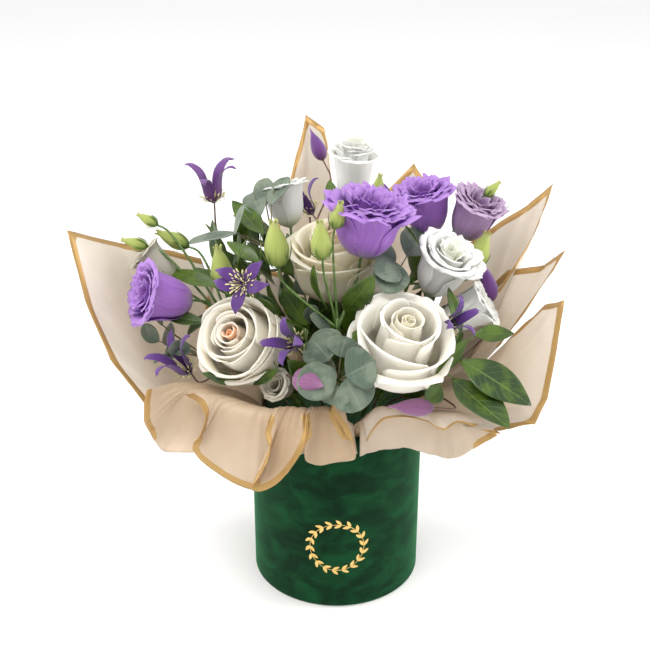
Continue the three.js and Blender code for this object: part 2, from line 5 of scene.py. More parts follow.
import bpy
import numpy as np
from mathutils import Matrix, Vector


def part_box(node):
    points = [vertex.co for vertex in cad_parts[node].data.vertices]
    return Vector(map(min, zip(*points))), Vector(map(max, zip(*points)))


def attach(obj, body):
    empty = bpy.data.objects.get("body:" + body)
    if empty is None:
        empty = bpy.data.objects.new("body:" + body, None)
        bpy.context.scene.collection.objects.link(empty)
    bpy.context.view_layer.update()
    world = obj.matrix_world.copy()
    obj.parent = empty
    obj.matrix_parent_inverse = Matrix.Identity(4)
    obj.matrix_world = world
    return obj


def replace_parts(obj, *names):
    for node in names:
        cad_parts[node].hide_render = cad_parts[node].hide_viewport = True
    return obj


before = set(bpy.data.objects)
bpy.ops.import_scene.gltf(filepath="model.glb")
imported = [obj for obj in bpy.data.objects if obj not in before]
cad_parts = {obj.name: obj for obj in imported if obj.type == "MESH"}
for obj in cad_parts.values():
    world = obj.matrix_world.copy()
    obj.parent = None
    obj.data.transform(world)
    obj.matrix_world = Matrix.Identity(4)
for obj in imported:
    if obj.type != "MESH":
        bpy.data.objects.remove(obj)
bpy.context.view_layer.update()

# ---------------------------------------------------------------- camera, light and floor
# The camera looks down at the box from the front. The light is a large soft window from the upper left, a
# fill from the right and a pale room. The floor is a pale table.

camera = bpy.data.objects.new("camera", bpy.data.cameras.new("camera"))
bpy.context.scene.collection.objects.link(camera)
camera.data.lens = 60.92
camera.location = (-0.0109, -0.9118, 0.6656)
camera.rotation_euler = (math.radians(90 - 24.28), 0, 0)
bpy.context.scene.camera = camera
bpy.context.scene.view_settings.view_transform = "Standard"


def area_light(name, place, size, watts, colour):
    """A square soft light that looks at the flowers."""
    lamp = bpy.data.objects.new(name, bpy.data.lights.new(name, "AREA"))
    bpy.context.scene.collection.objects.link(lamp)
    lamp.data.size = size
    lamp.data.energy = watts
    lamp.data.color = colour
    lamp.location = place
    lamp.rotation_euler = (Vector((0, 0, 0.2)) - Vector(place)).to_track_quat("-Z", "Y").to_euler()


area_light("overhead", (-0.5, -0.8, 2.3), 1.2, 32, (1.0, 0.98, 0.95))
area_light("left_side", (-1.9, 0.2, 0.8), 1.2, 20, (1.0, 1.0, 1.0))
area_light("right_side", (1.9, 0.1, 0.9), 1.2, 28, (1.0, 1.0, 1.0))
room = bpy.data.worlds.new("room")
room.use_nodes = True
room.node_tree.nodes["Background"].inputs["Color"].default_value = (1.0, 1.0, 1.0, 1)
room.node_tree.nodes["Background"].inputs["Strength"].default_value = 0.95
bpy.context.scene.world = room


def srgb(red, green, blue):
    """A screen colour, 0 to 255, as the linear RGBA that a shader takes."""
    line = [c / 255 for c in (red, green, blue)]
    return [c / 12.92 if c <= 0.04045 else ((c + 0.055) / 1.055) ** 2.4 for c in line] + [1]


def new_material(name, roughness=0.5, **constants):
    """A Principled material. Values that are the same all over are set on the shader's own sockets."""
    material = bpy.data.materials.new(name)
    material.use_nodes = True
    shader = material.node_tree.nodes["Principled BSDF"]
    shader.inputs["Roughness"].default_value = roughness
    for socket, value in constants.items():
        shader.inputs[socket.replace("_", " ")].default_value = value
    return material, material.node_tree, shader


def add(tree, kind, sockets, **settings):
    """Adds a node with its settings. Each socket takes a value, or follows another node's output."""
    node = tree.nodes.new(kind)
    for setting, value in settings.items():
        setattr(node, setting, value)
    for socket, value in sockets.items():
        if isinstance(value, bpy.types.NodeSocket):
            tree.links.new(value, node.inputs[socket])
        else:
            node.inputs[socket].default_value = value
    return node


def mesh_object(name, points, faces):
    """An object at the origin from points and faces, shaded smooth."""
    mesh = bpy.data.meshes.new(name)
    mesh.from_pydata([tuple(p) for p in points], [], faces)
    mesh.shade_smooth()
    piece = bpy.data.objects.new(name, mesh)
    bpy.context.scene.collection.objects.link(piece)
    return piece


table_material, tree, shader = new_material("pale_table", 0.6)
grain = add(tree, "ShaderNodeTexNoise", {"Scale": 3})
tone = add(tree, "ShaderNodeMix", {0: grain.outputs["Fac"], 6: srgb(250, 250, 250), 7: srgb(247, 247, 247)},
           data_type="RGBA")
tree.links.new(tone.outputs[2], shader.inputs["Base Color"])
half = 14.0  # metres
table_top = mesh_object(
    "table_top",
    [(-half, -half, 0), (half, -half, 0), (half, half, 0), (-half, half, 0)],
    [(0, 1, 2, 3)],
)
table_top.data.materials.append(table_material)

# ---------------------------------------------------------------- velvet covering
# Velvet-faced paper, glued round the board tube, folded over the rim and under the foot. The pile lies in
# patches where hands have brushed it, and it catches light at a grazing angle.

rim_low, rim_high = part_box("velvet_cover")
MM = 0.001
WALL = rim_high.x
RIM = rim_high.z
VELVET_FOOT = rim_low.z
TURN_IN = 16 * MM


def lathe(name, outline, sides=160, closed=True):
    """A body turned about the Z axis from [radius, height] pairs. A pair on the axis becomes one pole."""
    points, rings = [], []
    for radius, height in outline:
        if radius < 1e-7:
            rings.append([len(points)] * sides)
            points.append((0, 0, height))
            continue
        rings.append(list(range(len(points), len(points) + sides)))
        for i in range(sides):
            angle = 2 * math.pi * i / sides
            points.append((radius * math.sin(angle), -radius * math.cos(angle), height))
    pairs = list(zip(rings, rings[1:] + rings[:1])) if closed else list(zip(rings, rings[1:]))
    faces = []
    for low, high in pairs:
        for i in range(sides):
            k = (i + 1) % sides
            corners = list(dict.fromkeys((low[i], low[k], high[k], high[i])))
            if len(corners) > 2:
                faces.append(corners)
    return mesh_object(name, points, faces)


def arc(centre, radius, start, stop, steps):
    """Points on an arc in the outline's plane. Angles are degrees from +radius towards +height."""
    turns = np.radians(np.linspace(start, stop, steps))
    return [(centre[0] + radius * math.cos(a), centre[1] + radius * math.sin(a)) for a in turns]


def ramp(tree, source, stops):
    """Adds a colour ramp on `source` from (position, colour) stops in rising order."""
    node = add(tree, "ShaderNodeValToRGB", {"Fac": source})
    elements = node.color_ramp.elements
    elements[0].position = stops[0][0]
    elements[1].position = stops[-1][0]
    for position, _ in stops[1:-1]:
        elements.new(position)
    for element, (_, colour) in zip(elements, stops):
        element.color = colour
    return node


cover = 0.8 * MM
fold = 2.2 * MM
inner = WALL - 4.8 * MM
velvet = lathe(
    "velvet_covering",
    [
        (WALL - 9 * MM, VELVET_FOOT),
        *arc((WALL - 1.2 * MM, VELVET_FOOT + 1.2 * MM), 1.2 * MM, -90, 0, 5),
        *[(WALL, VELVET_FOOT + (RIM - VELVET_FOOT) * t) for t in np.linspace(0.05, 0.95, 12)],
        *arc((WALL - fold, RIM - fold), fold, 0, 90, 6),
        *arc((inner + fold, RIM - fold), fold, 90, 180, 6),
        (inner, RIM - TURN_IN),
        (inner + cover, RIM - TURN_IN),
        (inner + cover, RIM - 1.2 * MM),
        (WALL - cover, RIM - 1.2 * MM),
        (WALL - cover, VELVET_FOOT + cover),
        (WALL - 9 * MM, VELVET_FOOT + cover),
    ],
)

velvet_pile, tree, shader = new_material("velvet_pile", 0.9, Sheen_Weight=0.8, Sheen_Roughness=0.3)
shader.inputs["Sheen Tint"].default_value = srgb(88, 176, 120)
shader.inputs["Specular IOR Level"].default_value = 0.15
place = tree.nodes.new("ShaderNodeTexCoord")
swept = add(tree, "ShaderNodeMapping",
            {"Scale": (1, 1, 1.5), "Rotation": (0.5, 0.35, 0), "Vector": place.outputs["Object"]})
patches = add(tree, "ShaderNodeTexNoise",
              {"Scale": 34, "Detail": 3.5, "Roughness": 0.55, "Distortion": 0.7,
               "Vector": swept.outputs["Vector"]})
nap = ramp(tree, patches.outputs["Fac"],
           [(0.36, srgb(3, 36, 17)), (0.5, srgb(6, 49, 24)), (0.66, srgb(11, 64, 34))])
pile = add(tree, "ShaderNodeTexNoise", {"Scale": 1600, "Detail": 2, "Vector": place.outputs["Object"]})
bright = add(tree, "ShaderNodeMapRange",
             {"From Min": 0.3, "From Max": 0.7, "To Min": 0.62, "To Max": 1.25, "Value": pile.outputs["Fac"]})
speckle = add(tree, "ShaderNodeMix", {0: 0.5, 6: nap.outputs["Color"], 7: bright.outputs["Result"]},
              data_type="RGBA", blend_type="MULTIPLY")
tree.links.new(speckle.outputs[2], shader.inputs["Base Color"])
lean = add(tree, "ShaderNodeBump", {"Strength": 0.35, "Distance": 0.0012, "Height": patches.outputs["Fac"]})
fibre = add(tree, "ShaderNodeBump",
            {"Strength": 0.4, "Distance": 0.0003, "Height": pile.outputs["Fac"],
             "Normal": lean.outputs["Normal"]})
tree.links.new(fibre.outputs["Normal"], shader.inputs["Normal"])
velvet.data.materials.append(velvet_pile)
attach(velvet, "box")
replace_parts(velvet, "velvet_cover")

# ---------------------------------------------------------------- board, base and lining
# Grey board rolled into a tube with a round base board glued in, white lining paper inside and a paper disc
# over the underside. They keep their plain shapes, and take the finish of pressed paper fibre.


def paper_material(name, light, dark, fibre_scale, roughness):
    """Pressed paper fibre: two close tones in fine long flecks, with a slight tooth."""
    made, tree, shader = new_material(name, roughness)
    place = tree.nodes.new("ShaderNodeTexCoord")
    flecks = add(tree, "ShaderNodeTexNoise",
                 {"Scale": fibre_scale, "Detail": 5, "Vector": place.outputs["Object"]})
    tones = ramp(tree, flecks.outputs["Fac"], [(0.35, srgb(*dark)), (0.65, srgb(*light))])
    tree.links.new(tones.outputs["Color"], shader.inputs["Base Color"])
    tooth = add(tree, "ShaderNodeBump",
                {"Strength": 0.25, "Distance": 0.0003, "Height": flecks.outputs["Fac"]})
    tree.links.new(tooth.outputs["Normal"], shader.inputs["Normal"])
    return made


grey_board = paper_material("grey_board", (168, 160, 148), (140, 132, 120), 700, 0.9)
white_paper = paper_material("white_lining_paper", (242, 239, 232), (230, 226, 217), 420, 0.8)
for node in ("board_tube", "base_board"):
    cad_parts[node].data.materials.clear()
    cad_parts[node].data.materials.append(grey_board)


low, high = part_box("lining_paper")
lining = lathe(
    "white_lining",
    [
        (high.x - 0.7 * MM, low.z),
        (high.x, low.z),
        (high.x, high.z),
        (high.x - 0.7 * MM, high.z),
    ],
)
lining.data.materials.append(white_paper)
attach(lining, "box")
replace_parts(lining, "lining_paper")

low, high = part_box("base_paper")
underside = lathe("underside_paper", [(0, low.z), (high.x, low.z), (high.x, high.z), (0, high.z)],
                  closed=False)
underside.data.materials.append(white_paper)
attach(underside, "box")
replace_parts(underside, "base_paper")

# ---------------------------------------------------------------- foil wreath
# A plain ring of small leaves stamped in gold foil on the front of the box. The foil is pressed flat on the
# velvet and follows its curve.

low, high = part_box("foil_wreath")
WREATH_HEIGHT = (low.z + high.z) / 2
WREATH_RADIUS = 25 * MM
LEAF_PAIRS = 18


def nodes_group(name, inputs):
    """An empty Geometry Nodes tree with named inputs, as (tree, group input, group output)."""
    made = bpy.data.node_groups.new(name, "GeometryNodeTree")
    made.interface.new_socket("Geometry", in_out="INPUT", socket_type="NodeSocketGeometry")
    for label, kind in inputs:
        made.interface.new_socket(label, in_out="INPUT", socket_type=kind)
    made.interface.new_socket("Geometry", in_out="OUTPUT", socket_type="NodeSocketGeometry")
    return made, made.nodes.new("NodeGroupInput"), made.nodes.new("NodeGroupOutput")


def grow(piece, group, **values):
    """Runs a Geometry Nodes tree on a piece, keeps what it makes as the piece's mesh, and drops the
    modifier."""
    modifier = piece.modifiers.new(group.name, "NODES")
    modifier.node_group = group
    for socket in group.interface.items_tree:
        key = socket.name.replace(" ", "_").lower()
        if socket.in_out == "INPUT" and key in values:
            modifier[socket.identifier] = values[key]
    piece.update_tag()
    depsgraph = bpy.context.evaluated_depsgraph_get()
    depsgraph.update()
    made = bpy.data.meshes.new_from_object(
        piece.evaluated_get(depsgraph), preserve_all_data_layers=True, depsgraph=depsgraph
    )
    piece.modifiers.remove(modifier)
    piece.data = made
    return piece


def hidden(piece):
    """Takes a pattern piece out of the picture: it is only copied from."""
    bpy.context.scene.collection.objects.unlink(piece)
    return piece


def blade_grid(length, width, fullest=0.45, fold=0.0, bend=0.0, rows=12, columns=6, blunt=0.0, wave=0.0,
               turn=0.0):
    """Points of a leaf blade from (0, 0, 0) along +Y, facing +Z, with its across and along values."""
    v, u = np.meshgrid(np.linspace(0, 1, rows + 1), np.linspace(-1, 1, columns + 1), indexing="ij")
    rise = np.sin(np.pi / 2 * np.clip(v / fullest, 0, 1)) ** (0.75 if blunt else 1.0)
    fall = np.cos(np.pi / 2 * np.clip((v - fullest) / (1 - fullest), 0, 1)) ** (0.5 if blunt else 0.85)
    half = width / 2 * np.where(v < fullest, rise, fall) + 0.15 * MM
    x = u * half
    y = v * length
    z = np.abs(x) * fold - bend * length * v**2 + wave * width * np.sin(9 * v + 2.2 * u + turn) * np.abs(u)
    return np.stack([x, y, z], -1), u, v


def grid_faces(rows, columns, start=0):
    """Quads of a grid of (rows + 1) by (columns + 1) points."""
    across = columns + 1
    return [
        (start + r * across + c, start + r * across + c + 1, start + (r + 1) * across + c + 1,
         start + (r + 1) * across + c)
        for r in range(rows)
        for c in range(columns)
    ]


def wreath_group():
    """Leaves along a circle, in pairs that point forwards and to each side of it, with the ring itself."""
    made, given, out = nodes_group(
        "leaves_along_a_ring",
        [("Leaf", "NodeSocketObject"), ("Radius", "NodeSocketFloat"), ("Pairs", "NodeSocketInt"),
         ("Finish", "NodeSocketMaterial")],
    )
    new = made.nodes.new
    circle = add(made, "GeometryNodeCurvePrimitiveCircle",
                 {"Resolution": 96, "Radius": given.outputs["Radius"]})
    leaf = add(made, "GeometryNodeObjectInfo", {"Object": given.outputs["Leaf"]})
    join = new("GeometryNodeJoinGeometry")
    for side in (-34, 34):
        points = add(made, "GeometryNodeCurveToPoints",
                     {"Curve": circle.outputs["Curve"], "Count": given.outputs["Pairs"]})
        heading = add(made, "FunctionNodeAlignRotationToVector", {"Vector": points.outputs["Tangent"]},
                      axis="Y", pivot_axis="Z")
        splay = add(made, "FunctionNodeRotateRotation",
                    {"Rotate By": (0, 0, math.radians(side)), "Rotation": heading.outputs["Rotation"]},
                    rotation_space="LOCAL")
        placed = add(made, "GeometryNodeInstanceOnPoints",
                     {"Points": points.outputs["Points"], "Instance": leaf.outputs["Geometry"],
                      "Rotation": splay.outputs["Rotation"]})
        made.links.new(placed.outputs["Instances"], join.inputs["Geometry"])
    band = add(made, "GeometryNodeCurvePrimitiveCircle", {"Resolution": 6, "Radius": 0.35 * MM})
    ring = add(made, "GeometryNodeCurveToMesh",
               {"Curve": circle.outputs["Curve"], "Profile Curve": band.outputs["Curve"]})
    made.links.new(ring.outputs["Mesh"], join.inputs["Geometry"])
    real = add(made, "GeometryNodeRealizeInstances", {"Geometry": join.outputs["Geometry"]})
    finish = add(made, "GeometryNodeSetMaterial",
                 {"Geometry": real.outputs["Geometry"], "Material": given.outputs["Finish"]})
    made.links.new(finish.outputs["Geometry"], out.inputs["Geometry"])
    return made


gold_foil, tree, shader = new_material("gold_foil", 0.3, Metallic=1.0)
place = tree.nodes.new("ShaderNodeTexCoord")
rub = add(tree, "ShaderNodeTexNoise", {"Scale": 420, "Vector": place.outputs["Object"]})
wear = ramp(tree, rub.outputs["Fac"], [(0.0, srgb(198, 158, 84)), (1.0, srgb(240, 208, 138))])
tree.links.new(wear.outputs["Color"], shader.inputs["Base Color"])
press = add(tree, "ShaderNodeBump", {"Strength": 0.3, "Distance": 0.0002, "Height": rub.outputs["Fac"]})
tree.links.new(press.outputs["Normal"], shader.inputs["Normal"])

points, _, _ = blade_grid(7.5 * MM, 2.9 * MM, rows=8, columns=4)
leaf_pattern = hidden(mesh_object("foil_leaf_pattern", points.reshape(-1, 3), grid_faces(8, 4)))
raised = leaf_pattern.modifiers.new("foil_depth", "SOLIDIFY")
raised.thickness = 0.3 * MM
wreath = mesh_object("wreath_emblem", [(0, 0, 0)], [])
grow(wreath, wreath_group(), leaf=leaf_pattern, radius=WREATH_RADIUS, pairs=LEAF_PAIRS, finish=gold_foil)
flat = np.array([v.co for v in wreath.data.vertices])
reach = WALL + 0.28 * MM + np.clip(flat[:, 2], -0.2 * MM, 0.3 * MM)
around = flat[:, 0] / WALL
bent = np.stack([reach * np.sin(around), -reach * np.cos(around), WREATH_HEIGHT + flat[:, 1]], -1)
wreath.data.vertices.foreach_set("co", bent.astype(np.float32).ravel())
wreath.data.update()
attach(wreath, "box")
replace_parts(wreath, "foil_wreath")

# ---------------------------------------------------------------- liner and floral foam
# A moulded plastic liner with a rolled lip stands loose in the box. It holds a soaked block of floral foam,
# cut round with a knife and full of small air cells, that all the stems are pushed into.

low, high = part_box("liner_pot")
lip, floor = high.x, low.z
foot = lip - 4 * MM
liner = lathe(
    "plastic_liner",
    [
        (0, floor),
        (foot - 1.5 * MM, floor),
        (foot, floor + 1.5 * MM),
        (lip - 0.3 * MM, high.z - 4 * MM),
        *arc((lip - 1.0 * MM, high.z - 1.0 * MM), 1.0 * MM, 0, 180, 7),
        (lip - 2.0 * MM, high.z - 4 * MM),
        (foot - 1.2 * MM, floor + 2.2 * MM),
        (foot - 2.4 * MM, floor + 1.2 * MM),
        (0, floor + 1.2 * MM),
    ],
    closed=False,
)
liner_plastic, tree, shader = new_material("dark_liner_plastic", 0.45)
place = tree.nodes.new("ShaderNodeTexCoord")
scuff = add(tree, "ShaderNodeTexNoise", {"Scale": 60, "Detail": 6, "Vector": place.outputs["Object"]})
tones = ramp(tree, scuff.outputs["Fac"], [(0.0, srgb(34, 40, 36)), (1.0, srgb(52, 58, 52))])
tree.links.new(tones.outputs["Color"], shader.inputs["Base Color"])
liner.data.materials.append(liner_plastic)
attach(liner, "arrangement")
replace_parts(liner, "liner_pot")

low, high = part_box("floral_foam")
FOAM_TOP = high.z
FOAM_RADIUS = high.x
HEART = Vector((0, 0, FOAM_TOP - 15 * MM))
foam_cells, tree, shader = new_material("floral_foam", 0.95)
place = tree.nodes.new("ShaderNodeTexCoord")
cells = add(tree, "ShaderNodeTexVoronoi", {"Scale": 900, "Vector": place.outputs["Object"]})
# Painted shade: the foam is darker in the pits of its air cells and lighter on the walls between them.
tones = ramp(tree, cells.outputs["Distance"], [(0.0, srgb(22, 52, 30)), (1.0, srgb(58, 104, 62))])
tree.links.new(tones.outputs["Color"], shader.inputs["Base Color"])
pits = add(tree, "ShaderNodeBump", {"Strength": 0.6, "Distance": 0.0006, "Height": cells.outputs["Distance"]})
tree.links.new(pits.outputs["Normal"], shader.inputs["Normal"])
foam = lathe(
    "foam_block",
    [
        (0, low.z),
        (FOAM_RADIUS - 4 * MM, low.z),
        (FOAM_RADIUS, FOAM_TOP - 26 * MM),
        (FOAM_RADIUS, FOAM_TOP - 14 * MM),
        *arc((FOAM_RADIUS - 12 * MM, FOAM_TOP - 12 * MM), 12 * MM, 5, 90, 8),
        (0, FOAM_TOP),
    ],
    closed=False,
)
foam.data.materials.append(foam_cells)
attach(foam, "arrangement")
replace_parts(foam, "floral_foam")

# ---------------------------------------------------------------- film collar
# Sheets of translucent cream wrapping film with a gold border printed along the cut edge. They are folded to
# points, tucked in between the liner and the box, and stand or roll over the rim under their own stiffness.

FILM_INK = 6 * MM
NO_INK = 0.05  # metres: where a rib carries no gold, its hem counts as this far off
FILM_TUCK = 26 * MM
film_seed = np.random.default_rng(7)


def turned_to(turn, lean):
    """A direction from its compass turn (0 front, 90 right) and its lean from upright, in degrees."""
    t, l = math.radians(turn), math.radians(lean)
    return Vector((math.sin(t) * math.sin(l), -math.cos(t) * math.sin(l), math.cos(l)))


def smooth_through(knots, samples, centripetal=True):
    """A Catmull-Rom line through an array of points, sampled evenly in its knots."""
    knots = np.asarray(knots, float)
    ends = np.concatenate([[2 * knots[0] - knots[1]], knots, [2 * knots[-1] - knots[-2]]])
    steps = np.linalg.norm(np.diff(ends, axis=0).reshape(len(ends) - 1, -1), axis=1)
    steps = np.maximum(steps, 1e-6) ** (0.5 if centripetal else 0.0)
    line = []
    for t in np.linspace(0, len(knots) - 1, samples):
        i = min(int(t), len(knots) - 2)
        f = t - i
        p0, p1, p2, p3 = ends[i : i + 4]
        d0, d1, d2 = steps[i : i + 3]
        m1 = ((p1 - p0) / d0 - (p2 - p0) / (d0 + d1) + (p2 - p1) / d1) * d1
        m2 = ((p2 - p1) / d1 - (p3 - p1) / (d1 + d2) + (p3 - p2) / d2) * d1
        line.append(
            (2 * f**3 - 3 * f**2 + 1) * p1
            + (f**3 - 2 * f**2 + f) * m1
            + (3 * f**2 - 2 * f**3) * p2
            + (f**3 - f**2) * m2
        )
    return np.array(line)


def straight_through(knots, samples):
    """Straight lines through an array of points, sampled evenly in its knots."""
    knots = np.asarray(knots, float)
    t = np.linspace(0, len(knots) - 1, samples)
    i = np.minimum(t.astype(int), len(knots) - 2)
    f = (t - i).reshape(-1, *[1] * (knots.ndim - 1))
    return knots[i] * (1 - f) + knots[i + 1] * f


def set_attribute(mesh, name, values):
    """A float per vertex that a material reads."""
    mesh.attributes.new(name, "FLOAT", "POINT").data.foreach_set("value",
                                                                 np.asarray(values, np.float32).ravel())


def grid_normals(grid):
    """Unit normals of a grid of points."""
    down = np.gradient(grid, axis=0)
    across = np.gradient(grid, axis=1)
    normal = np.cross(across, down)
    return normal / np.maximum(np.linalg.norm(normal, axis=-1, keepdims=True), 1e-9)


def film_sheet(name, layer, ribs, stands_for=(), inked=None, crisp=1.0, crinkle=1.0, per_rib=10, rows=64,
               tone=0.1):
    """One sheet. Each rib is (turn of its foot, hem, belly or None); hem and belly are (turn, mm out from the
    wall, mm above the rim). `inked` gives each rib's share of gold, and `tone` is painted shade: how much
    darker and more peach the sheet is where it faces away from the light, partly for film lying doubled."""
    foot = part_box("liner_pot")[1].x + (1.1 + 1.7 * layer) * MM - WALL

    def point(turn, out, up):
        return np.array(turned_to(turn, 90)) * (WALL + out) + [0, 0, RIM + up]

    rails = []
    for turn, hem, belly in ribs:
        hem = (hem[0], hem[1] * MM, hem[2] * MM)
        if belly is None:
            belly = (turn + (hem[0] - turn) / 2, (foot + hem[1]) / 2 + 4 * MM * layer, hem[2] * 0.28)
        else:
            belly = (belly[0], belly[1] * MM, belly[2] * MM)
        knots = [point(turn, foot, -FILM_TUCK), point(turn, foot, 2 * MM), point(*belly), point(*hem)]
        rails.append(smooth_through(knots, rows + 1))
    rails = np.array(rails)
    columns = (len(ribs) - 1) * per_rib
    soft = smooth_through(rails, columns + 1, centripetal=False)
    sharp = straight_through(rails, columns + 1)
    v = np.linspace(0, 1, rows + 1)[None, :, None]
    share = crisp * np.clip((v - 0.45) / 0.55, 0, 1) ** 1.5
    grid = (soft * (1 - share) + sharp * share).transpose(1, 0, 2)

    # Soft creases: long folds that run up the sheet, and a slight overall crumple.
    v = np.linspace(0, 1, rows + 1)[:, None]
    u = np.linspace(0, 1, columns + 1)[None, :]
    loose = np.clip((v - 0.36) / 0.3, 0, 1)
    dents = np.zeros_like(u * v)
    for k in range(9):
        phase, slant, pace = film_seed.uniform(0, 6.28), film_seed.normal(0, 3.0), film_seed.uniform(4, 13)
        wave = np.sin(pace * u * len(ribs) / 3 + slant * v + phase)
        dents += film_seed.uniform(0.25, 0.8) * (1 - np.abs(wave) ** 0.6 - 0.35)
    for k in range(4):
        phase, pace = film_seed.uniform(0, 6.28), film_seed.uniform(5, 11)
        dents += 0.5 * np.sin(pace * v + 3.5 * u * film_seed.normal(0, 1.5) + phase)
    grid = grid + grid_normals(grid) * (dents * loose * 0.75 * MM * crinkle)[:, :, None]

    ink = np.ones(len(ribs)) if inked is None else np.array(inked, float)
    ink = np.interp(np.linspace(0, len(ribs) - 1, columns + 1), range(len(ribs)), ink)
    # The hem runs aslant between ribs, so the distance to it is shorter than the way up the rib.
    hem_line = grid[-1]
    flat_points = grid.reshape(-1, 3)
    nearest = np.full(len(flat_points), np.inf)
    for i in range(columns + 1):
        gap = np.linalg.norm(flat_points - hem_line[i], axis=1) + (1 - ink[i]) * NO_INK
        nearest = np.minimum(nearest, gap)
    piece = mesh_object(name, grid.reshape(-1, 3), grid_faces(rows, columns))
    set_attribute(piece.data, "to_edge", nearest)
    set_attribute(piece.data, "way_up", np.repeat(v, columns + 1, 1))
    set_attribute(piece.data, "tone", np.full((rows + 1) * (columns + 1), tone))
    thick = piece.modifiers.new("film_gauge", "SOLIDIFY")
    thick.thickness = 0.3 * MM
    piece.data.materials.append(wrap_film)
    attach(piece, "arrangement")
    if stands_for:
        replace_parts(piece, *stands_for)
    return piece


wrap_film, tree, shader = new_material("wrap_film", 0.42, Specular_IOR_Level=0.35)
shader.inputs["Sheen Weight"].default_value = 0.1
edge = add(tree, "ShaderNodeAttribute", {}, attribute_name="to_edge")
border = add(tree, "ShaderNodeMapRange",
             {"From Min": FILM_INK, "From Max": FILM_INK - 0.5 * MM, "Value": edge.outputs["Fac"]})
way = add(tree, "ShaderNodeAttribute", {}, attribute_name="way_up")
# Painted shade: the film is darker and more peach low down, towards its foot in the box, and paler cream
# towards the hem.
shade_towards_foot = ramp(tree, way.outputs["Fac"], [(0.36, srgb(210, 184, 150)), (0.9, srgb(224, 219, 211))])
place = tree.nodes.new("ShaderNodeTexCoord")
haze = add(tree, "ShaderNodeTexNoise", {"Scale": 30, "Detail": 4, "Vector": place.outputs["Object"]})
# Painted shade: the sheet's tone darkens it towards a deeper peach on flaps that face down and away from the
# light, partly the deeper colour of doubled film.
layers = add(tree, "ShaderNodeAttribute", {}, attribute_name="tone")
wobble = add(tree, "ShaderNodeTexNoise", {"Scale": 160, "Vector": place.outputs["Object"]})
doubled_and_shaded = add(tree, "ShaderNodeMix",
              {0: layers.outputs["Fac"], 6: shade_towards_foot.outputs["Color"], 7: srgb(192, 164, 130)}, data_type="RGBA")
cloud = add(tree, "ShaderNodeMix", {0: 0.5, 6: doubled_and_shaded.outputs[2], 7: haze.outputs["Fac"]}, data_type="RGBA",
            blend_type="SOFT_LIGHT")
inked_colour = add(tree, "ShaderNodeMix",
                   {0: border.outputs["Result"], 6: cloud.outputs[2], 7: srgb(206, 168, 106)},
                   data_type="RGBA")
tree.links.new(inked_colour.outputs[2], shader.inputs["Base Color"])
shine = add(tree, "ShaderNodeMath", {0: border.outputs["Result"], 1: 0.4}, operation="MULTIPLY")
tree.links.new(shine.outputs["Value"], shader.inputs["Metallic"])
ripple = add(tree, "ShaderNodeBump", {"Strength": 0.18, "Distance": 0.001, "Height": wobble.outputs["Fac"]})
tree.links.new(ripple.outputs["Normal"], shader.inputs["Normal"])
through = add(tree, "ShaderNodeMix",
              {0: border.outputs["Result"], 6: srgb(246, 236, 222), 7: srgb(150, 100, 40)}, data_type="RGBA")
glow = add(tree, "ShaderNodeBsdfTranslucent",
           {"Color": through.outputs[2], "Normal": ripple.outputs["Normal"]})
sheer = add(tree, "ShaderNodeMixShader", {"Fac": 0.32, 1: shader.outputs["BSDF"], 2: glow.outputs["BSDF"]})
tree.links.new(sheer.outputs["Shader"], tree.nodes["Material Output"].inputs["Surface"])

film_sheet("film_left", 1, [
    (-62, (-66, 102, 32), None), (-70, (-74, 125, 67), None), (-79, (-82, 142, 112), None),
    (-88, (-88, 155, 168), None), (-99, (-104, 127, 135), None), (-110, (-115, 95, 119), None),
    (-120, (-124, 79, 105), None),
], ["wrap_left"])
film_sheet("film_front_left_under", 2, [
    (-76, (-60, 106, 57), (-64, 66, 49)), (-71, (-61, 108, 42), (-62, 65, 48)),
    (-66, (-63, 107, 22), (-60, 64, 47)), (-61, (-67, 98, 0), (-58, 61, 47)),
    (-56, (-64, 90, -14), (-54, 57, 46)),
    (-51, (-56, 82, -6), (-50, 53, 45)), (-46, (-48, 74, 2), (-45, 48, 42)),
    (-40, (-40, 64, 10), (-39, 42, 38)),
], inked=[1, 1, 1, 1, 0.6, 0, 0, 0], crisp=0.3, tone=0.75)
film_sheet("film_front_left", 2.6, [
    (-52, (-56, 76, 49), (-52, 64, 50)), (-50, (-46, 78, 51), (-50, 62, 51)),
    (-48, (-43, 81, 42), (-47, 60, 51)),
    (-46, (-45, 83, 26), (-44, 58, 50)), (-43, (-49, 83, 10), (-41, 56, 49)),
    (-40, (-46, 81, 0), (-38, 54, 48)),
    (-36, (-38, 75, -11), (-34, 51, 47)), (-32, (-29, 70, -17), (-30, 47, 46)),
    (-28, (-24, 65, -12), (-26, 43, 45)),
    (-24, (-18, 59, 3), (-22, 38, 44)), (-20, (-14, 50, 18), (-18, 33, 43)),
    (-16, (-12, 43, 32), (-15, 28, 43)),
    (-13, (-12, 34, 42), (-13, 24, 43)),
], ["wrap_front_left"], crisp=0.2, tone=0.7, per_rib=6)
film_sheet("film_front_left_fold", 2.8, [
    (-27, (-24, 58, 47), (-25, 46, 49)), (-26, (-24, 66, 38), (-24, 44, 49)),
    (-25, (-22, 69, 23), (-23, 43, 48)),
    (-24, (-24, 73, 5), (-22, 41, 48)), (-23, (-28, 74, -13), (-21, 39, 47)),
    (-21, (-25, 72, -15), (-20, 37, 47)),
    (-19, (-20, 68, -7), (-18, 35, 46)), (-17, (-16, 64, 6), (-16, 32, 46)),
    (-15, (-12, 55, 22), (-14, 30, 45)),
    (-13, (-11, 48, 36), (-13, 28, 45)), (-12, (-12, 40, 45), (-12, 26, 45)),
], crisp=0.2, tone=0.9, per_rib=6)
film_sheet("film_front", 1, [
    (-18, (-18, 30, 0), (-14, 22, 36)), (-10, (-10, 26, 4), (-9, 16, 40)), (-3, (-2, 17, 2), (-3, 15, 39)),
    (4, (6, 13, -8), (3, 8, 25)), (10, (11, 10, -8), (9, 4, 17)),
], ["wrap_front"], inked=[0, 0, 0, 0, 0], crisp=0.2, tone=0.75)
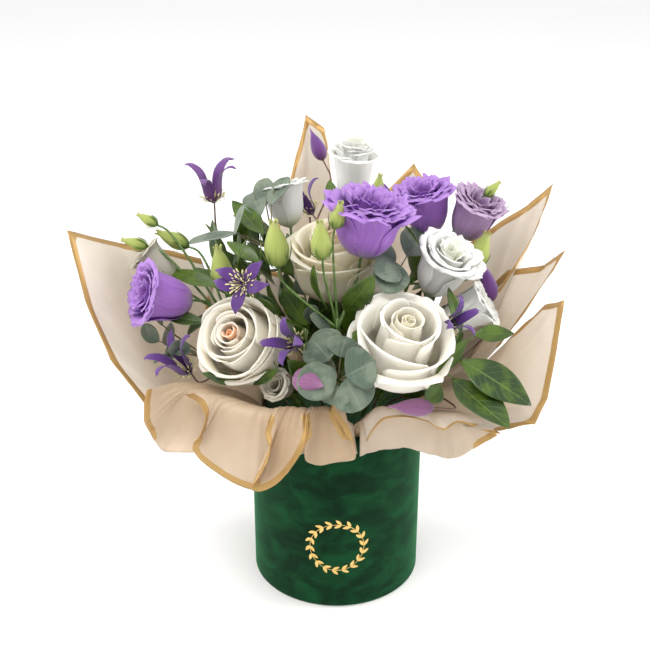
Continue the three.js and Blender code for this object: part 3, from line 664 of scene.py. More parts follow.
film_sheet("film_front_curl", 2.3, [
    (-13, (-15, 31, 37), (-13, 22, 44)), (-11, (-14, 32, 22), (-12, 22, 44)),
    (-9, (-15, 33, 8), (-11, 21, 43)),
    (-7, (-14, 32, -3), (-9, 20, 43)), (-4, (-8, 30, -7), (-6, 20, 43)), (0, (0, 27, -5), (-2, 20, 42)),
    (3, (8, 24, -5), (2, 18, 40)), (5, (8, 25, 8), (3, 17, 41)), (6, (4, 26, 20), (2, 17, 43)),
    (7, (0, 27, 34), (0, 17, 46)), (8, (-4, 27, 44), (-1, 18, 49)),
], inked=[1, 1, 0.8, 0.3, 0, 0, 0.4, 0.9, 1, 1, 1], crisp=0.2, tone=0.9, per_rib=6)
film_sheet("film_front_right", 2, [
    (8, (12, 11, -10), (12, 8, 20)), (17, (24, 13, -6), (20, 17, 35)), (27, (38, 21, -7), (32, 26, 34)),
    (35, (46, 32, -14), (43, 36, 24)), (43, (54, 48, -20), (50, 42, 26)), (52, (57, 68, -4), (54, 50, 19)),
    (60, (61, 80, 4), (59, 56, 16)),
], ["wrap_front_right"], inked=[0, 0, 0, 0.2, 0.6, 1, 1], crisp=0.2, tone=0.6)
film_sheet("film_front_right_lip", 2.7, [
    (12, (15, 19, 8), (13, 12, 24)), (16, (17, 22, 20), (16, 17, 32)), (21, (21, 29, 33), (20, 20, 39)),
    (27, (28, 36, 36), (26, 26, 40)), (34, (37, 44, 30), (34, 32, 37)), (41, (43, 51, 19), (41, 40, 31)),
    (46, (49, 56, 23), (46, 44, 30)), (52, (55, 65, 15), (52, 50, 25)), (56, (57, 76, 11), (56, 56, 22)),
    (60, (58, 86, 11), (59, 60, 20)),
], inked=[0.91, 0.92, 0.93, 0.93, 0.92, 0.92, 0.93, 0.95, 1, 1], crisp=0.2, tone=0.4, per_rib=6)
film_sheet("film_right_low", 1, [
    (50, (56, 87, 16), (52, 38, 12)), (58, (62, 111, 21), (59, 48, 18)), (66, (66, 117, 42), None),
    (73, (69, 119, 82), None), (80, (72, 120, 125), None), (89, (80, 103, 108), None),
    (98, (88, 75, 60), None),
], ["wrap_right_low"], tone=0.3)
film_sheet("film_right", 0, [
    (76, (82, 68, 65), None), (83, (87, 96, 104), None), (90, (92, 124, 144), None),
    (99, (98, 112, 122), None),
    (107, (105, 85, 111), None), (115, (109, 65, 82), None),
], ["wrap_right"])
film_sheet("film_right_up", 2, [
    (94, (98, 71, 100), None), (102, (104, 110, 145), None), (110, (112, 141, 183), None),
    (119, (116, 123, 159), None), (129, (122, 105, 138), None), (138, (130, 80, 110), None),
], ["wrap_right_up"])
film_sheet("film_back_right", 1, [
    (130, (140, 78, 120), None), (142, (149, 108, 152), None), (154, (157, 128, 171), None),
    (167, (165, 92, 142), None), (178, (173, 70, 110), None),
], ["wrap_back_right"])
film_sheet("film_back_left", 2, [
    (-186, (-180, 75, 142), None), (-180, (-177, 130, 203), None), (-171, (-172, 142, 215), None),
    (-160, (-165, 102, 158), None), (-148, (-157, 75, 120), None),
], ["wrap_back_left"])
film_sheet("film_rear_left", 0, [
    (-158, (-156, 60, 75), None), (-144, (-140, 88, 86), None), (-130, (-128, 78, 82), None),
    (-114, (-116, 60, 65), None),
], ["wrap_rear_left"])

# ---------------------------------------------------------------- roses
# Four garden roses with cupped, tightly spiralled hearts and broad outer petals that roll back at the rim.
# They are cut short and pushed low into the foam. Petals are soft, matt, a little translucent, and finely
# veined.


def at_heart(turn, lean, reach):
    """A point given by its compass turn, its lean from upright and its millimetres from the heart of the
    foam."""
    return HEART + turned_to(turn, lean) * (reach * MM)


def petal(profile, half_width, wrap=1.0, top=0.2, power=3.0, narrow=0.25, taper=(0.62, 2.0), roll=0.0,
          frill=0.0,
          waves=5, phase=0.0, twist=0.0, rows=12, columns=12):
    """A petal in its bloom's frame, which has +Z as its axis. `profile` is (radius, height) knots from base
    to tip. It wraps round the axis by `wrap`, its corners are cut back by `top`, it narrows by `narrow` along
    `taper`, which is where that starts and how sharply, and its rim rolls out and frills."""
    v, u = np.meshgrid(np.linspace(0, 1, rows + 1), np.linspace(-1, 1, columns + 1), indexing="ij")
    line = smooth_through(np.array(profile, float), 61)
    reach = np.clip(v * (1 - top * np.abs(u) ** power), 0, 1) * 60
    i = np.minimum(reach.astype(int), 59)
    f = (reach - i)[..., None]
    spot = line[i] * (1 - f) + line[i + 1] * f
    radius, height = spot[..., 0], spot[..., 1]
    late = np.clip((v - taper[0]) / (1 - taper[0]), 0, 1)
    half = half_width * np.minimum(0.24 + 1.15 * v**0.8, 1.0) * (1 - narrow * late ** taper[1])
    curve = np.maximum(radius, 0.5 * MM) / max(wrap, 0.05)
    angle = np.clip(half * u / curve, -2.6, 2.6)
    late = np.clip((v - 0.45) / 0.55, 0, 1) ** 1.6
    ripple = np.sin(waves * u + phase) + 0.5 * np.sin(2.3 * waves * u + 2 * phase)
    ripple = frill * late * ripple * np.abs(u) ** 0.3
    out = radius - curve * (1 - np.cos(angle)) + roll * late * np.abs(u) ** 2.5 + 0.7 * ripple
    side = curve * np.sin(angle)
    up = height - 0.35 * roll * late * np.abs(u) ** 2.5 + 0.6 * ripple
    spin = twist * v
    points = np.stack([out * np.cos(spin) - side * np.sin(spin), out * np.sin(spin) + side * np.cos(spin),
                       up], -1)
    return points, u, v


def spun(points, angle, tilt=0.0):
    """A petal turned about the bloom's axis, after leaning it outwards about its base."""
    c, s = math.cos(tilt), math.sin(tilt)
    x, y, z = points[..., 0] * c + points[..., 2] * s, points[..., 1], points[..., 2] * c - points[..., 0] * s
    return np.stack([x * math.cos(angle) - y * math.sin(angle), x * math.sin(angle) + y * math.cos(angle),
                     z], -1)


def bloom_piece(name, petals, back, axis, material, stands_for=(), roll=0.0, gauge=0.35):
    """One piece from its petals, each (points, across, along, age, tone), set on its axis at the point
    `back`. With no axis the points are where they are."""
    points, faces, across, along, age, tone = [], [], [], [], [], []
    start = 0
    for grid, u, v, how_old, shade in petals:
        rows, columns = grid.shape[0] - 1, grid.shape[1] - 1
        points.append(grid.reshape(-1, 3))
        faces += grid_faces(rows, columns, start)
        start += grid.shape[0] * grid.shape[1]
        across.append(u.ravel())
        along.append(v.ravel())
        age.append(np.full(u.size, how_old))
        tone.append(np.full(u.size, shade))
    placed = np.concatenate(points)
    if axis is not None:
        c, s = math.cos(roll), math.sin(roll)
        turn = np.array(axis.to_track_quat("Z", "Y").to_matrix()) @ np.array([[c, -s, 0], [s, c, 0],
                                                                              [0, 0, 1]])
        placed = placed @ turn.T + np.array(back)
    piece = mesh_object(name, placed, faces)
    for label, values in (("across", across), ("along", along), ("age", age), ("tone", tone)):
        set_attribute(piece.data, label, np.concatenate(values))
    piece.data.materials.append(material)
    if gauge:
        thick = piece.modifiers.new("petal_gauge", "SOLIDIFY")
        thick.thickness = gauge * MM
    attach(piece, "arrangement")
    if stands_for:
        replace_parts(piece, *stands_for)
    return piece


def petal_tint_group():
    """Petal colour from its age in the bloom and the place on the petal, with veins: a colour and a vein
    height."""
    group = bpy.data.node_groups.new("petal_tint", "ShaderNodeTree")
    for label in ("Heart", "Body", "Rim", "Base"):
        group.interface.new_socket(label, in_out="INPUT", socket_type="NodeSocketColor")
    for label in ("Heart Reach", "Rim Share", "Vein Share"):
        group.interface.new_socket(label, in_out="INPUT", socket_type="NodeSocketFloat")
    group.interface.new_socket("Color", in_out="OUTPUT", socket_type="NodeSocketColor")
    group.interface.new_socket("Height", in_out="OUTPUT", socket_type="NodeSocketFloat")
    new, join = group.nodes.new, group.links.new
    given, out = new("NodeGroupInput"), new("NodeGroupOutput")
    read = {}
    for label in ("across", "along", "age", "tone"):
        read[label] = new("ShaderNodeAttribute")
        read[label].attribute_name = label

    def ranged(source, low, high, bottom=0.0, top=1.0):
        limits = {"From Min": low, "From Max": high, "To Min": bottom, "To Max": top}
        eased = add(group, "ShaderNodeMapRange", {"Value": source, **limits}, interpolation_type="SMOOTHSTEP")
        return eased.outputs["Result"]

    def mixed(share, a, b):
        return add(group, "ShaderNodeMix", {0: share, 6: a, 7: b}, data_type="RGBA").outputs[2]

    colour = mixed(ranged(read["age"].outputs["Fac"], 0.0, given.outputs["Heart Reach"]),
                   given.outputs["Heart"], given.outputs["Body"])
    near_base = ranged(read["along"].outputs["Fac"], 0.42, 0.04)
    colour = mixed(near_base, colour, given.outputs["Base"])
    spread = add(group, "ShaderNodeCombineXYZ",
                 {"Y": read["along"].outputs["Fac"], "Z": read["tone"].outputs["Fac"]})
    scaled = add(group, "ShaderNodeMath", {0: read["across"].outputs["Fac"], 1: 16}, operation="MULTIPLY")
    join(scaled.outputs["Value"], spread.inputs["X"])
    vein = add(group, "ShaderNodeTexNoise", {"Scale": 1.6, "Detail": 3, "Vector": spread.outputs["Vector"]})
    rim = add(group, "ShaderNodeMath",
              {0: ranged(read["along"].outputs["Fac"], 0.66, 1.0), 1: given.outputs["Rim Share"]},
              operation="MULTIPLY")
    colour = mixed(rim.outputs["Value"], colour, given.outputs["Rim"])
    shade = add(group, "ShaderNodeMath",
                {0: ranged(vein.outputs["Fac"], 0.52, 0.72), 1: given.outputs["Vein Share"]},
                operation="MULTIPLY")
    colour = mixed(shade.outputs["Value"], colour, given.outputs["Base"])
    lift = add(group, "ShaderNodeHueSaturation",
               {"Value": ranged(read["tone"].outputs["Fac"], 0.0, 1.0, 0.93, 1.05), "Color": colour})
    join(lift.outputs["Color"], out.inputs["Color"])
    join(vein.outputs["Fac"], out.inputs["Height"])
    return group


petal_tint = petal_tint_group()


def petal_material(name, heart, body, rim, base, heart_reach=0.5, rim_share=0.5, veins=0.2, roughness=0.55,
                   glow=0.42,
                   sheen=0.15):
    """A soft petal: tint by place, fine veins in relief, velvety sheen, and light that comes through from
    behind."""
    made, tree, shader = new_material(name, roughness, Sheen_Weight=sheen, Specular_IOR_Level=0.3)
    tint = add(tree, "ShaderNodeGroup",
               {"Heart Reach": heart_reach, "Rim Share": rim_share, "Vein Share": veins},
               node_tree=petal_tint)
    for label, value in (("Heart", heart), ("Body", body), ("Rim", rim), ("Base", base)):
        tint.inputs[label].default_value = srgb(*value)
    relief = add(tree, "ShaderNodeBump",
                 {"Strength": 0.22, "Distance": 0.0006, "Height": tint.outputs["Height"]})
    tree.links.new(tint.outputs["Color"], shader.inputs["Base Color"])
    tree.links.new(relief.outputs["Normal"], shader.inputs["Normal"])
    lit = add(tree, "ShaderNodeBsdfTranslucent", {"Color": tint.outputs["Color"]})
    both = add(tree, "ShaderNodeMixShader", {"Fac": glow, 1: shader.outputs["BSDF"], 2: lit.outputs["BSDF"]})
    tree.links.new(both.outputs["Shader"], tree.nodes["Material Output"].inputs["Surface"])
    return made


def rose(name, where, face, wide, material, rings, seed=1, roll=0.0):
    """A rose from rings of petals, the heart first. Each ring is (petals, radius of its first and last,
    height, lean and roll of the rims, half the angle a petal wraps), in shares of the bloom's width and
    height."""
    wide, high = wide * MM, wide * 0.72 * MM
    rng = np.random.default_rng(seed)
    axis = turned_to(*face)
    back = at_heart(*where) - axis * (high / 2)
    petals, count = [], sum(ring[0] for ring in rings)
    for number, near, far, height, lean, rolled, span in rings:
        start = rng.uniform(0, 6.28)
        for i in range(number):
            t = len(petals) / (count - 1)
            belly = wide * (near + (far - near) * i / (number - 1)) * rng.uniform(0.97, 1.03)
            tip = high * height * rng.uniform(0.94, 1.05)
            out = max(wide * lean * rng.uniform(0.6, 1.4), 0.5 * MM - belly)
            curl = wide * rolled * rng.uniform(0.5, 1.5)
            knots = [
                (2.0 * MM, 0.015 * high),
                (belly * 0.66, 0.06 * high + 0.10 * high * (1 - t)),
                (belly * (0.98 + 0.06 * t), 0.40 * tip),
                (belly + 0.25 * out, 0.72 * tip),
                (belly + out, 0.94 * tip),
                (belly + out + curl, tip),
                (belly + out + 2.0 * curl, tip - 0.5 * curl),
            ]
            wrap = 1.0 - 0.16 * t
            grid, u, v = petal(knots, span * belly / wrap, wrap=wrap, top=0.08 + 0.16 * t,
                               power=rng.uniform(1.5, 2.2),
                               narrow=0.08 + 0.14 * t, roll=curl * rng.uniform(0.8, 2.6),
                               twist=rng.normal(0, 0.06),
                               frill=wide * 0.009 * (0.4 + t) * rng.uniform(0.5, 1.6),
                               waves=rng.uniform(1.5, 4.5),
                               phase=rng.uniform(0, 6), rows=20, columns=20)
            turned = start + 2 * math.pi * i / number + rng.normal(0, 0.12)
            petals.append((spun(grid, turned, rng.normal(0, 0.015 + 0.03 * t)), u, v, t, rng.random()))
    return bloom_piece(name, petals, back, axis, material, roll=roll)


rose_peach_petal = petal_material("rose_petal_peach", (255, 196, 120), (254, 251, 243), (254, 252, 248),
                                  (252, 244, 226), heart_reach=0.32, veins=0.06, glow=0.55)
rose_white_petal = petal_material("rose_petal_white", (251, 247, 230), (253, 251, 245), (253, 253, 250),
                                  (247, 244, 224), heart_reach=0.5, veins=0.06, glow=0.5)
rose_cream_petal = petal_material("rose_petal_cream", (254, 242, 214), (254, 250, 236), (254, 252, 244),
                                  (250, 242, 214), heart_reach=0.55, veins=0.06, glow=0.55)
FULL_ROSE = (
    (5, 0.02, 0.06, 0.92, -0.01, 0.003, 1.9),
    (5, 0.10, 0.15, 0.96, -0.03, 0.004, 1.35),
    (5, 0.19, 0.25, 0.98, -0.035, 0.006, 1.3),
    (5, 0.29, 0.34, 0.96, -0.02, 0.010, 1.25),
    (5, 0.37, 0.40, 0.86, 0.01, 0.018, 1.15),
    (4, 0.39, 0.41, 0.68, 0.03, 0.020, 1.05),
)
HALF_OPEN_ROSE = (
    (6, 0.02, 0.11, 1.00, -0.04, 0.0, 2.0),
    (3, 0.14, 0.17, 1.03, -0.03, 0.004, 1.55),
    (5, 0.21, 0.28, 0.99, 0.0, 0.012, 1.25),
    (5, 0.33, 0.36, 0.82, 0.05, 0.026, 1.1),
    (4, 0.37, 0.385, 0.56, 0.05, 0.026, 0.95),
)
LOOSE_ROSE = (
    (6, 0.02, 0.12, 0.98, -0.03, 0.0, 2.0),
    (4, 0.16, 0.22, 1.00, -0.01, 0.008, 1.4),
    (5, 0.26, 0.31, 0.93, 0.03, 0.02, 1.2),
    (5, 0.33, 0.36, 0.78, 0.06, 0.028, 1.1),
)
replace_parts(rose("rose_left", (-55, 45, 140), (-30, 50), 80, rose_peach_petal, FULL_ROSE,
                 3),
            "rose_peach")
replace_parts(rose("rose_right", (34, 42, 142), (18, 27), 92, rose_white_petal,
                 HALF_OPEN_ROSE, 4),
            "rose_white")
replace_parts(rose("rose_middle", (-170, 8, 142), (-10, 12), 92, rose_cream_petal,
                 LOOSE_ROSE, 5),
            "rose_cream")
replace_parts(rose("rose_rear", (160, 45, 134), (160, 38), 68, rose_white_petal,
                 HALF_OPEN_ROSE, 6),
            "rose_back")

# ---------------------------------------------------------------- lisianthus
# Double lisianthus: frilled funnels in two or three layers of thin petals, purple, lilac and white, pale
# green in the throat. They stand on long branching stems among their own spiral green buds.


def lisianthus(name, where, face, wide, high, material, layers=3, seed=1, frill=0.035, closed=0.0,
               stands_for=(), heart=0.0):
    """A bloom of `layers` rings of petals, from a slim throat to a frilled mouth. `closed` draws the mouth
    in, and `heart` is how much taller its inmost ring is."""
    wide, high = wide * MM, high * MM
    rng = np.random.default_rng(seed)
    axis = turned_to(*face)
    back = at_heart(*where) - axis * (high / 2)
    petals = []
    for layer in range(layers):
        t = 1 - layer / max(layers, 1) * 0.78
        number = (6, 6, 5, 5, 4)[min(layer, 4)]
        for i in range(number):
            mouth = wide * 0.5 * t * (1 - 0.45 * closed) * rng.uniform(0.92, 1.06)
            tall = high * (1.0 - 0.05 * (1 - t) + (0.10 * closed + heart) * (1 - t)) * rng.uniform(0.96, 1.03)
            knots = [
                (1.6 * MM, 0.0),
                (mouth * 0.42 + 1.0 * MM, 0.12 * tall),
                (mouth * 0.70, 0.38 * tall),
                (mouth * 0.78, 0.68 * tall),
                (mouth * 0.95, 0.93 * tall),
                (mouth * 1.15, 0.91 * tall + 0.09 * tall * (1 - t)),
            ]
            grid, u, v = petal(knots, mouth * 0.98 + 2 * MM, wrap=0.95, top=0.17, power=2.4, narrow=0.05,
                               roll=wide * 0.05 * t, frill=wide * frill, waves=rng.uniform(7, 11),
                               phase=rng.uniform(0, 6), rows=16, columns=28)
            turned = 2 * math.pi * (i + 0.5 * layer) / number + rng.normal(0, 0.1)
            petals.append((spun(grid, turned, rng.normal(0, 0.05)), u, v, 1 - layer / layers, rng.random()))
    piece = bloom_piece(name, petals, back, axis, material, stands_for, gauge=0.25)
    sepals = []
    for i in range(5):
        knots = [(1.2 * MM, -0.6 * MM), (0.16 * wide, 0.1 * high), (0.24 * wide, 0.26 * high),
                 (0.33 * wide, 0.4 * high)]
        grid, u, v = petal(knots, 1.3 * MM, wrap=0.4, top=0.0, narrow=0.97, rows=8, columns=4)
        sepals.append((spun(grid, 2 * math.pi * (i + 0.3) / 5), u, v, 1.0, 0.5))
    bloom_piece(f"{name}_sepals", sepals, back, axis, sepal_green, gauge=0.4)
    return piece


sepal_green = petal_material("sepal_green", (120, 150, 70), (104, 140, 62), (150, 170, 90), (120, 150, 76),
                             veins=0.3, glow=0.15, sheen=0.05)
purple_petal = petal_material("lisianthus_petal_purple", (160, 98, 196), (186, 128, 220), (208, 168, 234),
                              (216, 204, 214), heart_reach=0.7, rim_share=0.75, veins=0.28)
lilac_petal = petal_material("lisianthus_petal_lilac", (160, 120, 176), (186, 150, 196), (214, 194, 218),
                             (214, 210, 200), heart_reach=0.7, rim_share=0.8, veins=0.35)
white_petal = petal_material("lisianthus_petal_white", (246, 246, 232), (252, 252, 250), (253, 253, 252),
                             (226, 232, 198), heart_reach=0.6, veins=0.08, glow=0.5)
ivory_petal = petal_material("lisianthus_petal_ivory", (226, 220, 196), (226, 222, 208), (232, 228, 214),
                             (200, 206, 164), heart_reach=0.6, veins=0.15)

lisianthus("lisianthus_left", (-80, 50, 199), (-62, 68), 52, 52, purple_petal, 4, 11, 0.05,
           stands_for=["lisianthus_purple_left"], heart=0.1)
lisianthus("lisianthus_centre", (55, 9, 190), (60, 10), 68, 52, purple_petal, 5, 12, 0.085,
           stands_for=["lisianthus_purple_mid"], heart=0.22)
lisianthus("lisianthus_right", (122, 28, 206), (-60, 12), 50, 48, purple_petal, 4, 13, 0.08,
           stands_for=["lisianthus_purple_right"], heart=0.15)
lisianthus("lisianthus_pale", (108, 36, 220), (60, 24), 46, 46, lilac_petal, 4, 14, 0.08,
           stands_for=["lisianthus_lilac"], heart=0.1)
lisianthus("lisianthus_white_tall", (172, 30, 226), (90, 4), 44, 56, white_petal, 4, 15,
           0.025, 0.1,
           stands_for=["lisianthus_white_top"], heart=0.55)
lisianthus("lisianthus_white_upper", (84, 32, 172), (40, 30), 50, 54, white_petal, 4, 16,
           0.045,
           stands_for=["lisianthus_white_right"], heart=0.15)
lisianthus("lisianthus_white_lower", (84, 47, 158), (80, 58), 46, 50, white_petal, 3, 17,
           0.03, 0.2,
           stands_for=["lisianthus_white_low"])
lisianthus("lisianthus_white_rear", (-144, 24, 200), (-140, 20), 42, 44, white_petal, 3, 18,
           0.03,
           stands_for=["lisianthus_white_back"])
lisianthus("lisianthus_ivory_left", (-98, 50, 214), (-95, 46), 40, 42, ivory_petal, 3, 20,
           0.03, 0.3)
lisianthus("lisianthus_ivory_low", (-34, 54, 108), (-30, 54), 30, 30, ivory_petal, 3, 19,
           0.03, 0.3,
           stands_for=["lisianthus_cream_low"])

# ---------------------------------------------------------------- clematis
# Small wild clematis: bells of four or five thick pointed tepals, plum outside with paler margins, that twist
# back at the tips. Cream stamens fill the mouth. The closed ones hang as ribbed pointed buds on thin brown
# vines.


def stamen_group():
    """Filaments scattered in a disc at the bottom of a bloom, each leaning out from the middle."""
    made, given, out = nodes_group(
        "stamens_in_a_disc",
        [("Filament", "NodeSocketObject"), ("Density", "NodeSocketFloat"), ("Seed", "NodeSocketInt"),
         ("Finish", "NodeSocketMaterial")],
    )
    new = made.nodes.new
    spread = add(made, "GeometryNodeDistributePointsOnFaces",
                 {"Mesh": given.outputs["Geometry"], "Density": given.outputs["Density"],
                  "Seed": given.outputs["Seed"]})
    heading = add(made, "FunctionNodeAlignRotationToVector", {"Vector": spread.outputs["Normal"]}, axis="Z")
    filament = add(made, "GeometryNodeObjectInfo", {"Object": given.outputs["Filament"]})
    size = add(made, "FunctionNodeRandomValue", {2: 0.75, 3: 1.15, "Seed": given.outputs["Seed"]})
    placed = add(made, "GeometryNodeInstanceOnPoints",
                 {"Points": spread.outputs["Points"], "Instance": filament.outputs["Geometry"],
                  "Rotation": heading.outputs["Rotation"], "Scale": size.outputs[1]})
    real = add(made, "GeometryNodeRealizeInstances", {"Geometry": placed.outputs["Instances"]})
    finish = add(made, "GeometryNodeSetMaterial",
                 {"Geometry": real.outputs["Geometry"], "Material": given.outputs["Finish"]})
    made.links.new(finish.outputs["Geometry"], out.inputs["Geometry"])
    return made


stamens = stamen_group()
pollen, tree, shader = new_material("stamen_cream", 0.7)
place = tree.nodes.new("ShaderNodeTexCoord")
dust = add(tree, "ShaderNodeTexNoise", {"Scale": 700, "Vector": place.outputs["Object"]})
tones = ramp(tree, dust.outputs["Fac"], [(0.0, srgb(206, 196, 120)), (1.0, srgb(244, 238, 196))])
tree.links.new(tones.outputs["Color"], shader.inputs["Base Color"])
filament = hidden(lathe("filament_pattern",
                        [(0, 0), (0.25 * MM, 0.2 * MM), (0.22 * MM, 6 * MM), (0.55 * MM, 7 * MM),
                                             (0.5 * MM, 9 * MM), (0, 10 * MM)], sides=6, closed=False))


def stamen_tuft(name, centre, axis, spread, seed):
    """A domed tuft of stamens at a point, along an axis."""
    across = Vector(axis).to_track_quat("Z", "Y").to_matrix()
    rings = [(0, 0.5), (0.5, 0.38), (0.9, 0.1), (1.0, -0.15)]
    points, faces, sides = [], [], 10
    for radius, height in rings:
        for i in range(sides):
            angle = 2 * math.pi * i / sides
            local = Vector((radius * math.cos(angle), radius * math.sin(angle), height)) * spread
            points.append(Vector(centre) + across @ local)
    for r in range(len(rings) - 1):
        for i in range(sides):
            k = (i + 1) % sides
            low, high = r * sides, (r + 1) * sides
            faces.append((high + i, high + k, low + k, low + i) if r else (high + i, high + k, i))
    piece = mesh_object(name, points, faces)
    grow(piece, stamens, filament=filament, density=420000.0, seed=seed, finish=pollen)
    piece.data.shade_smooth()
    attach(piece, "arrangement")
    return piece


def clematis(name, where, face, wide, high, material, tepals=5, flare=1.0, seed=1, stands_for=(),
             open_flat=False):
    """A bell, or an open star, of pointed tepals round a tuft of stamens."""
    wide, high = wide * MM, high * MM
    rng = np.random.default_rng(seed)
    axis = turned_to(*face)
    back = at_heart(*where) - axis * (high / 2)
    petals = []
    for i in range(tepals):
        if open_flat:
            knots = [(1.2 * MM, 0.1 * high), (0.2 * wide, 0.35 * high), (0.42 * wide, 0.5 * high),
                     (0.56 * wide, 0.34 * high)]
        else:
            knots = [(1.2 * MM, 0.02 * high), (0.17 * wide, 0.22 * high), (0.2 * wide, 0.55 * high),
                     (0.3 * wide * flare, 0.86 * high), (0.52 * wide * flare, 1.02 * high),
                     (0.6 * wide * flare, 0.98 * high)]
        grid, u, v = petal(knots, wide * (0.17 if open_flat else 0.18), wrap=0.35, top=0.0, narrow=0.96,
                           taper=(0.3, 1.25), roll=-wide * 0.05 if open_flat else wide * 0.05,
                           frill=wide * 0.03,
                           waves=rng.uniform(2, 4), phase=rng.uniform(0, 6), twist=rng.normal(0, 0.25),
                           rows=16, columns=8)
        petals.append((spun(grid, 2 * math.pi * i / tepals + rng.normal(0, 0.12), rng.normal(0, 0.07)), u, v,
                       1.0,
                       rng.random()))
    piece = bloom_piece(name, petals, back, axis, material, stands_for,
                        roll=rng.uniform(0, 6),
                        gauge=0.5)
    stamen_tuft(f"{name}_stamens", back + axis * (0.12 * high), axis, wide * 0.13, seed)
    return piece


clematis_plum = petal_material("clematis_tepal_plum", (92, 40, 96), (104, 58, 128), (150, 112, 178),
                               (88, 40, 78), rim_share=0.6, veins=0.4, glow=0.15, sheen=0.3)
clematis_violet = petal_material("clematis_tepal_violet", (76, 38, 108), (90, 50, 126), (140, 104, 166),
                                 (62, 30, 82), rim_share=0.5, veins=0.4, glow=0.15, sheen=0.3)
clematis_rosy = petal_material("clematis_tepal_rosy", (122, 70, 112), (140, 90, 130), (172, 132, 164),
                               (92, 42, 84), rim_share=0.35, veins=0.8, glow=0.15, sheen=0.3)

clematis("clematis_bell_tall", (-114, 31, 240), (-30, 5), 42, 36, clematis_plum, 4, 1.0, 21,
         ["clematis_tall"])
clematis("clematis_open", (-50, 34, 190), (-20, 68), 46, 20, clematis_violet, 5, 1.0, 22, ["clematis_star"],
         open_flat=True)
clematis("clematis_bell_low", (-68, 62, 168), (-60, 38), 38, 36, clematis_violet, 4, 1.0, 23,
         ["clematis_low"])
clematis("clematis_bell_dark", (-24, 40, 148), (-30, 60), 36, 34, clematis_violet, 4, 0.9, 24,
         ["clematis_dark"])
clematis("clematis_bell_right", (62, 36, 128), (70, 20), 30, 40, clematis_plum, 4, 0.9, 26,
         ["clematis_right"])
clematis("clematis_bell_high", (-165, 34, 205), (-60, 30), 34, 32, clematis_violet, 4, 1.0, 27)
clematis("clematis_bell_behind", (150, 33, 205), (30, 20), 30, 32, clematis_violet, 4, 1.0, 28)
clematis("clematis_bell_side", (54, 44, 172), (50, 50), 32, 32, clematis_violet, 4, 0.9, 29)


def closed_bud(name, where, face, wide, high, material, tepals=4, twist=0.0, seed=1, stands_for=(),
               fullest=0.32, sepals=False, splay=0.0):
    """A closed bud: tepals that meet in raised seams and draw together to a point."""
    wide, high = wide * MM, high * MM
    rng = np.random.default_rng(seed)
    axis = turned_to(*face)
    back = at_heart(*where) - axis * (high / 2)
    petals = []
    for i in range(tepals):
        knots = [(0.8 * MM, 0.0), (0.34 * wide, 0.1 * high), (0.5 * wide, fullest * high),
                 (0.34 * wide, (fullest + 0.32) * high),
                 ((0.13 + 0.3 * splay) * wide, (fullest + 0.52) * high),
                 ((0.02 + splay) * wide, high)]
        grid, u, v = petal(knots, wide * 0.5 * math.pi / tepals * 1.3, wrap=1.15, top=0.0, narrow=0.93,
                           taper=(0.4, 1.2),
                           roll=0.4 * MM, frill=0.15 * MM, phase=rng.uniform(0, 6), twist=twist,
                           rows=18, columns=8)
        petals.append((spun(grid, 2 * math.pi * i / tepals), u, v, 1.0, rng.random()))
    if sepals:
        for i in range(5):
            knots = [(1.0 * MM, -0.5 * MM), (0.42 * wide, 0.08 * high), (0.6 * wide, 0.3 * high),
                     (0.62 * wide, 0.52 * high)]
            grid, u, v = petal(knots, 0.9 * MM, wrap=0.4, top=0.0, narrow=0.97, rows=8, columns=2)
            petals.append((spun(grid, 2 * math.pi * (i + 0.4) / 5), u, v, 0.0, 0.5))
    return bloom_piece(name, petals, back, axis, material, stands_for, roll=rng.uniform(0, 6),
                       gauge=0.3)


closed_bud("clematis_bud_top", (-173, 36, 266), (-130, 30), 15, 34, clematis_plum, 4, 0.3,
           31,
           ["bud_top"])
closed_bud("clematis_bud_right", (94, 47, 186), (-80, 12), 18, 40, clematis_plum, 4, 0.3,
           32,
           ["bud_right"])
closed_bud("clematis_bud_low", (30, 63, 136), (-75, 80), 16, 42, clematis_rosy, 4, 0.2, 33,
           ["bud_low"])
closed_bud("clematis_bud_rosy", (-12, 52, 142), (40, 80), 22, 36, clematis_rosy, 4, 0.3, 34,
           ["clematis_pink"])

# ---------------------------------------------------------------- stems and green buds
# Each flower's stem is cut aslant and pushed into the foam, and rises to the back of its bloom. The
# lisianthus stems branch at a fork and carry small spiral buds, and the clematis grows on thin brown vines.

STEM_SPREAD = FOAM_RADIUS - 12 * MM


def in_foam(turn, lean, height, share):
    """Where a stem that leans this way passes a height in or on the foam."""
    out = STEM_SPREAD * math.sin(math.radians(lean)) ** 0.7 * share
    return turned_to(turn, 90) * out + Vector((0, 0, height))


def stem_root(turn, lean):
    """A stem's cut end in the foam and the point where it comes out."""
    return [in_foam(turn, lean, FOAM_TOP - 40 * MM, 0.8), in_foam(turn, lean, FOAM_TOP + 4 * MM, 1.0)]


def behind(where, face, high, neck=14):
    """The last stretch of a stem, up to the middle of a bloom's back along the bloom's axis."""
    axis = turned_to(*face)
    back = at_heart(*where) - axis * ((high / 2 - 0.8) * MM)
    return [back - axis * (neck * MM), back]


